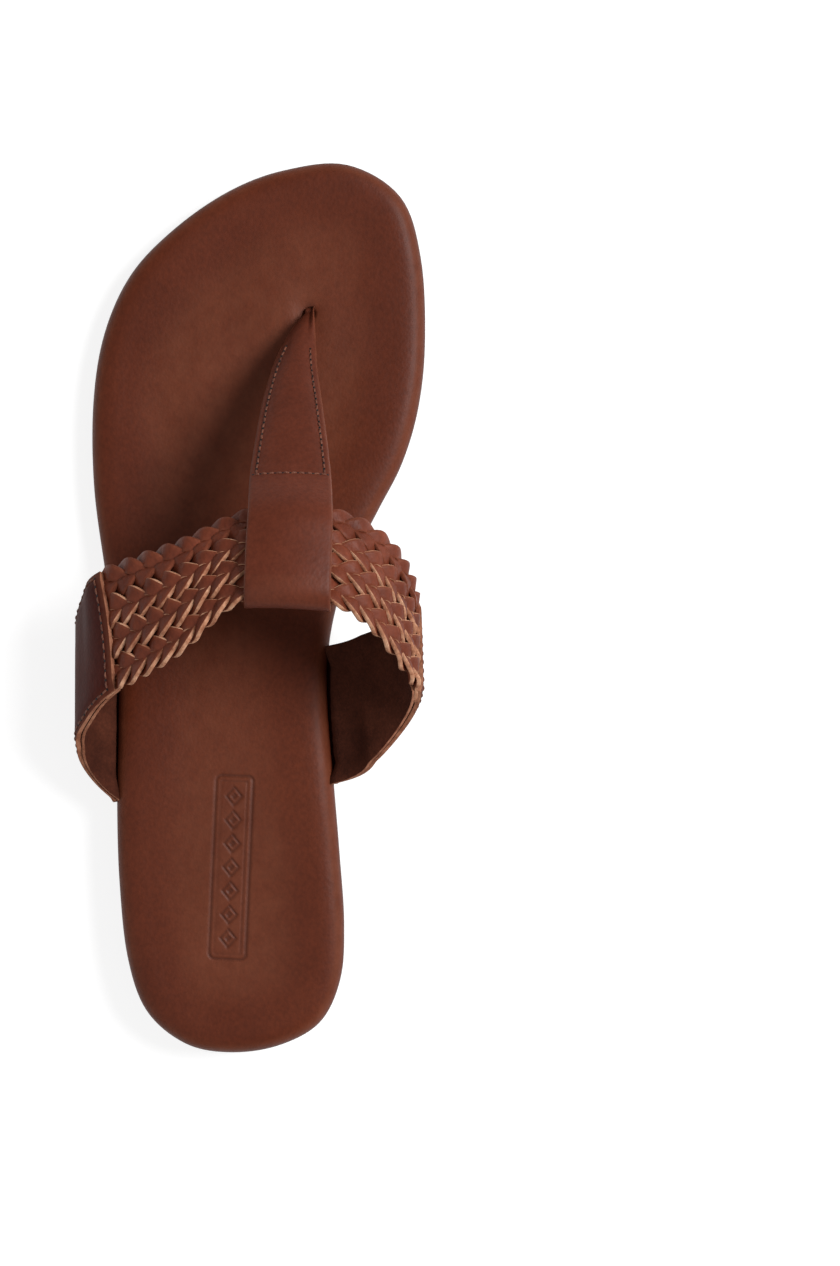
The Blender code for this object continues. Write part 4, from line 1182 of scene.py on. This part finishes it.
# stitching
thread = {"radius": 0.3, "share": 0.72, "sink": 0.16, "arch": 0.16, "holeShade": 0.36, "sides": 8}


def ringRound(middle, first, second, count):
    turns = [2 * math.pi * k / count for k in range(count)]
    return [middle + first * math.cos(w) + second * math.sin(w) for w in turns]


def closedTube(first, levels, count):
    # faces of a closed tube whose rings start at the point numbered first
    last = first + (levels - 1) * count
    faces = [tuple(range(first, first + count))[::-1], tuple(range(last, last + count))]
    for level in range(levels - 1):
        faces += joinRings(first + level * count, first + (level + 1) * count, count)
    return faces


def sewSeam(name, runs, pitch, radius):
    # each stitch is its own short arch of thread between two needle holes
    points, faces, holes = [], [], []
    stitchLevels = (0, 0.08, 0.25, 0.5, 0.75, 0.92, 1)
    holeLevels = ((-0.15, 0.5), (0.05, 1.0), (0.09, 0.7))
    for path, normals in runs:
        path, normals = np.asarray(path, float), np.asarray(normals, float)
        length = lengthAlong(path)
        whole = length[-1]
        stitches = max(1, round(whole / pitch))
        gap = whole / stitches

        def between(values, s):
            return np.array([np.interp(s, length, values[:, k]) for k in range(3)])

        def at(s):
            ahead = between(path, min(s + 0.05, whole)) - between(path, max(s - 0.05, 0))
            return between(path, s), unit(between(normals, s)), unit(ahead)

        for stitch in range(stitches):
            begin = (stitch + (1 - thread["share"]) / 2) * gap
            finish = (stitch + (1 + thread["share"]) / 2) * gap
            skew = random.uniform(-0.10, 0.10)
            faces += closedTube(len(points), len(stitchLevels), thread["sides"])
            for share in stitchLevels:
                spot, way, ahead = at(begin + (finish - begin) * share)
                flank = np.cross(way, ahead)
                arch = math.sin(math.pi * min(max(share, 0.04), 0.96)) ** 0.6
                rise = (thread["arch"] + thread["sink"]) * arch - thread["sink"]
                size = radius * (0.55 if share in (0, 1) else 0.85 if share in (0.08, 0.92) else 1.0)
                middle = spot + way * rise + flank * skew * (share - 0.5) * 2
                points += ringRound(middle, flank * size, way * size * 0.85, thread["sides"])
        holes += [0.0] * (len(points) - len(holes))
        # dark discs at each needle hole, painted shade
        for stitch in range(stitches + 1):
            spot, way, ahead = at(min(stitch * gap, whole))
            flank = np.cross(way, ahead)
            faces += closedTube(len(points), len(holeLevels), 8)
            for lift, size in holeLevels:
                reach = thread["holeShade"] * size
                points += ringRound(spot + way * lift, flank * reach, ahead * reach, 8)
        holes += [1.0] * (len(points) - len(holes))
    seam = makeObject(name, points, faces, [brownThread])
    paint(seam, "holeShade", holes)
    return seam


def stripSeam(row, share):
    # a point of the T-strap's seam, at a share of the half width
    lift = tStrap["thick"] / 2 - tStrap["groove"] * 0.4
    flat = stripCentre[row] + stripSide[row] * share * stripWide[row] / 2
    return flat - crownUp * share**2 * stripCrown[row] + stripOut[row] * lift


tRuns = []
for sign in (-1, 1):
    rows = range(seamFrom + 3, seamTo + 1)
    share = [sign * max(1 - 2 * tStrap["seamInset"] / stripWide[r], 0.42) for r in rows]
    tRuns.append(([stripSeam(r, a) for r, a in zip(rows, share)], [stripOut[r] for r in rows]))
edgeShare = 1 - 2 * tStrap["seamInset"] / stripWide[seamTo]
cross = np.linspace(-edgeShare - 0.08, edgeShare + 0.08, 15)
tRuns.append(([stripSeam(seamTo, a) for a in cross], [stripOut[seamTo]] * len(cross)))
tSeam = sewSeam("tStrapStitching", tRuns, tStrap["stitch"], thread["radius"])
blendSole(tSeam)
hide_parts("t_strap_thread")


def atLane(values, lanes, rows, v):
    return [[np.interp(v, lanes, values[row, :, k]) for k in range(3)] for row in rows]


for side in ("outer", "inner"):
    grid, normals = sideGrid(side, "leather", extra=sides["leatherThick"] / 2)
    rows, cols = grid.shape[:2]
    lanes = np.linspace(0, 1, cols)
    low = sides["seamInset"] / np.linalg.norm(grid[rows // 2, -1] - grid[rows // 2, 0])
    topRow = rows - sides["seamBelowTop"]
    upward = range(sides["seamRow"], topRow + 1)
    runs = [(atLane(grid, lanes, upward, v), atLane(normals, lanes, upward, v)) for v in (low, 1 - low)]
    crossing = [low, *(v for v in lanes if low < v < 1 - low), 1 - low]
    runs.append(([atLane(grid, lanes, [topRow], v)[0] for v in crossing],
                 [atLane(normals, lanes, [topRow], v)[0] for v in crossing]))
    seam = sewSeam(side + "SideStitching", runs, sides["stitch"], thread["radius"] * sides["threadShare"])
    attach(seam, "rearfoot")
    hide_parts(side + "_quarter_thread")
print("stitching done")

# floor, light and camera
studio = {
    "cameraSpot": (0.04776, -0.00545), "above": 0.72, "insole": 0.0121, "frameHeight": 0.3614, "roll": 2.5,
    "keySpot": (0.66, 0.22, 0.80), "keySize": 0.5, "keyPower": 12.4,
    "fillSpot": (-0.6, -0.5, 0.9), "fillSize": 1.2, "fillPower": 3.0,
    "sky": 0.26, "floor": (0.36, 0.38), "floorGlow": 0.78,
}
floorLook = bpy.data.materials.new("paleFloor")
floorLook.use_nodes = True
floorNodes, floorLinks = floorLook.node_tree.nodes, floorLook.node_tree.links
floorShader = floorNodes["Principled BSDF"]
floorShader.label = "Pale floor"
floorPlace = floorNodes.new("ShaderNodeTexCoord")
floorPlace.label = "On the floor"
floorTone = floorNodes.new("ShaderNodeTexNoise")
floorTone.label = "Faint unevenness"
floorRamp = floorNodes.new("ShaderNodeValToRGB")
floorRamp.label = "Pale tones"
for node, across in ((floorShader, 300), (floorPlace, -700), (floorTone, -450), (floorRamp, -200)):
    node.location = (across, 0)
floorTone.inputs["Scale"].default_value = 3.0
floorRamp.color_ramp.elements[0].color = (*[studio["floor"][0]] * 3, 1)
floorRamp.color_ramp.elements[1].color = (*[studio["floor"][1]] * 3, 1)
floorShader.inputs["Emission Color"].default_value = (1, 1, 1, 1)
floorShader.inputs["Emission Strength"].default_value = studio["floorGlow"]
floorShader.inputs["Roughness"].default_value = 0.9
floorShader.inputs["Specular IOR Level"].default_value = 0.1
floorLinks.new(floorPlace.outputs["Object"], floorTone.inputs["Vector"])
floorLinks.new(floorTone.outputs["Fac"], floorRamp.inputs["Fac"])
floorLinks.new(floorRamp.outputs["Color"], floorShader.inputs["Base Color"])
floorMesh = bpy.data.meshes.new("floor")
floorMesh.from_pydata([(-4, -4, 0), (4, -4, 0), (4, 4, 0), (-4, 4, 0)], [], [(0, 1, 2, 3)])
floorMesh.materials.append(floorLook)
floor = bpy.data.objects.new("floor", floorMesh)
floor.location.z = cadLow.z - 0.0002
bpy.context.scene.collection.objects.link(floor)


def softLight(name, spot, size, power):
    lamp = bpy.data.lights.new(name, "AREA")
    lamp.shape = "DISK"
    lamp.size = size
    lamp.energy = power
    holder = bpy.data.objects.new(name, lamp)
    holder.location = spot
    holder.rotation_euler = (Vector((0, 0, 0.02)) - Vector(spot)).to_track_quat("-Z", "Y").to_euler()
    bpy.context.scene.collection.objects.link(holder)


softLight("keyLight", studio["keySpot"], studio["keySize"], studio["keyPower"])
softLight("fillLight", studio["fillSpot"], studio["fillSize"], studio["fillPower"])
sky = bpy.data.worlds.new("studioSky")
sky.use_nodes = True
sky.node_tree.nodes["Background"].inputs["Color"].default_value = (1.0, 1.0, 1.0, 1)
sky.node_tree.nodes["Background"].inputs["Strength"].default_value = studio["sky"]
bpy.context.scene.world = sky
bpy.context.scene.view_settings.view_transform = "Standard"

lens = bpy.data.cameras.new("camera")
lens.sensor_fit = "VERTICAL"
lens.sensor_height = 36.0
lens.lens = 36.0 * studio["above"] / studio["frameHeight"]
lens.clip_start = 0.01
camera = bpy.data.objects.new("camera", lens)
camera.location = (*studio["cameraSpot"], studio["insole"] + studio["above"])
camera.rotation_euler = (0, 0, math.radians(studio["roll"]))
bpy.context.scene.collection.objects.link(camera)
bpy.context.scene.camera = camera
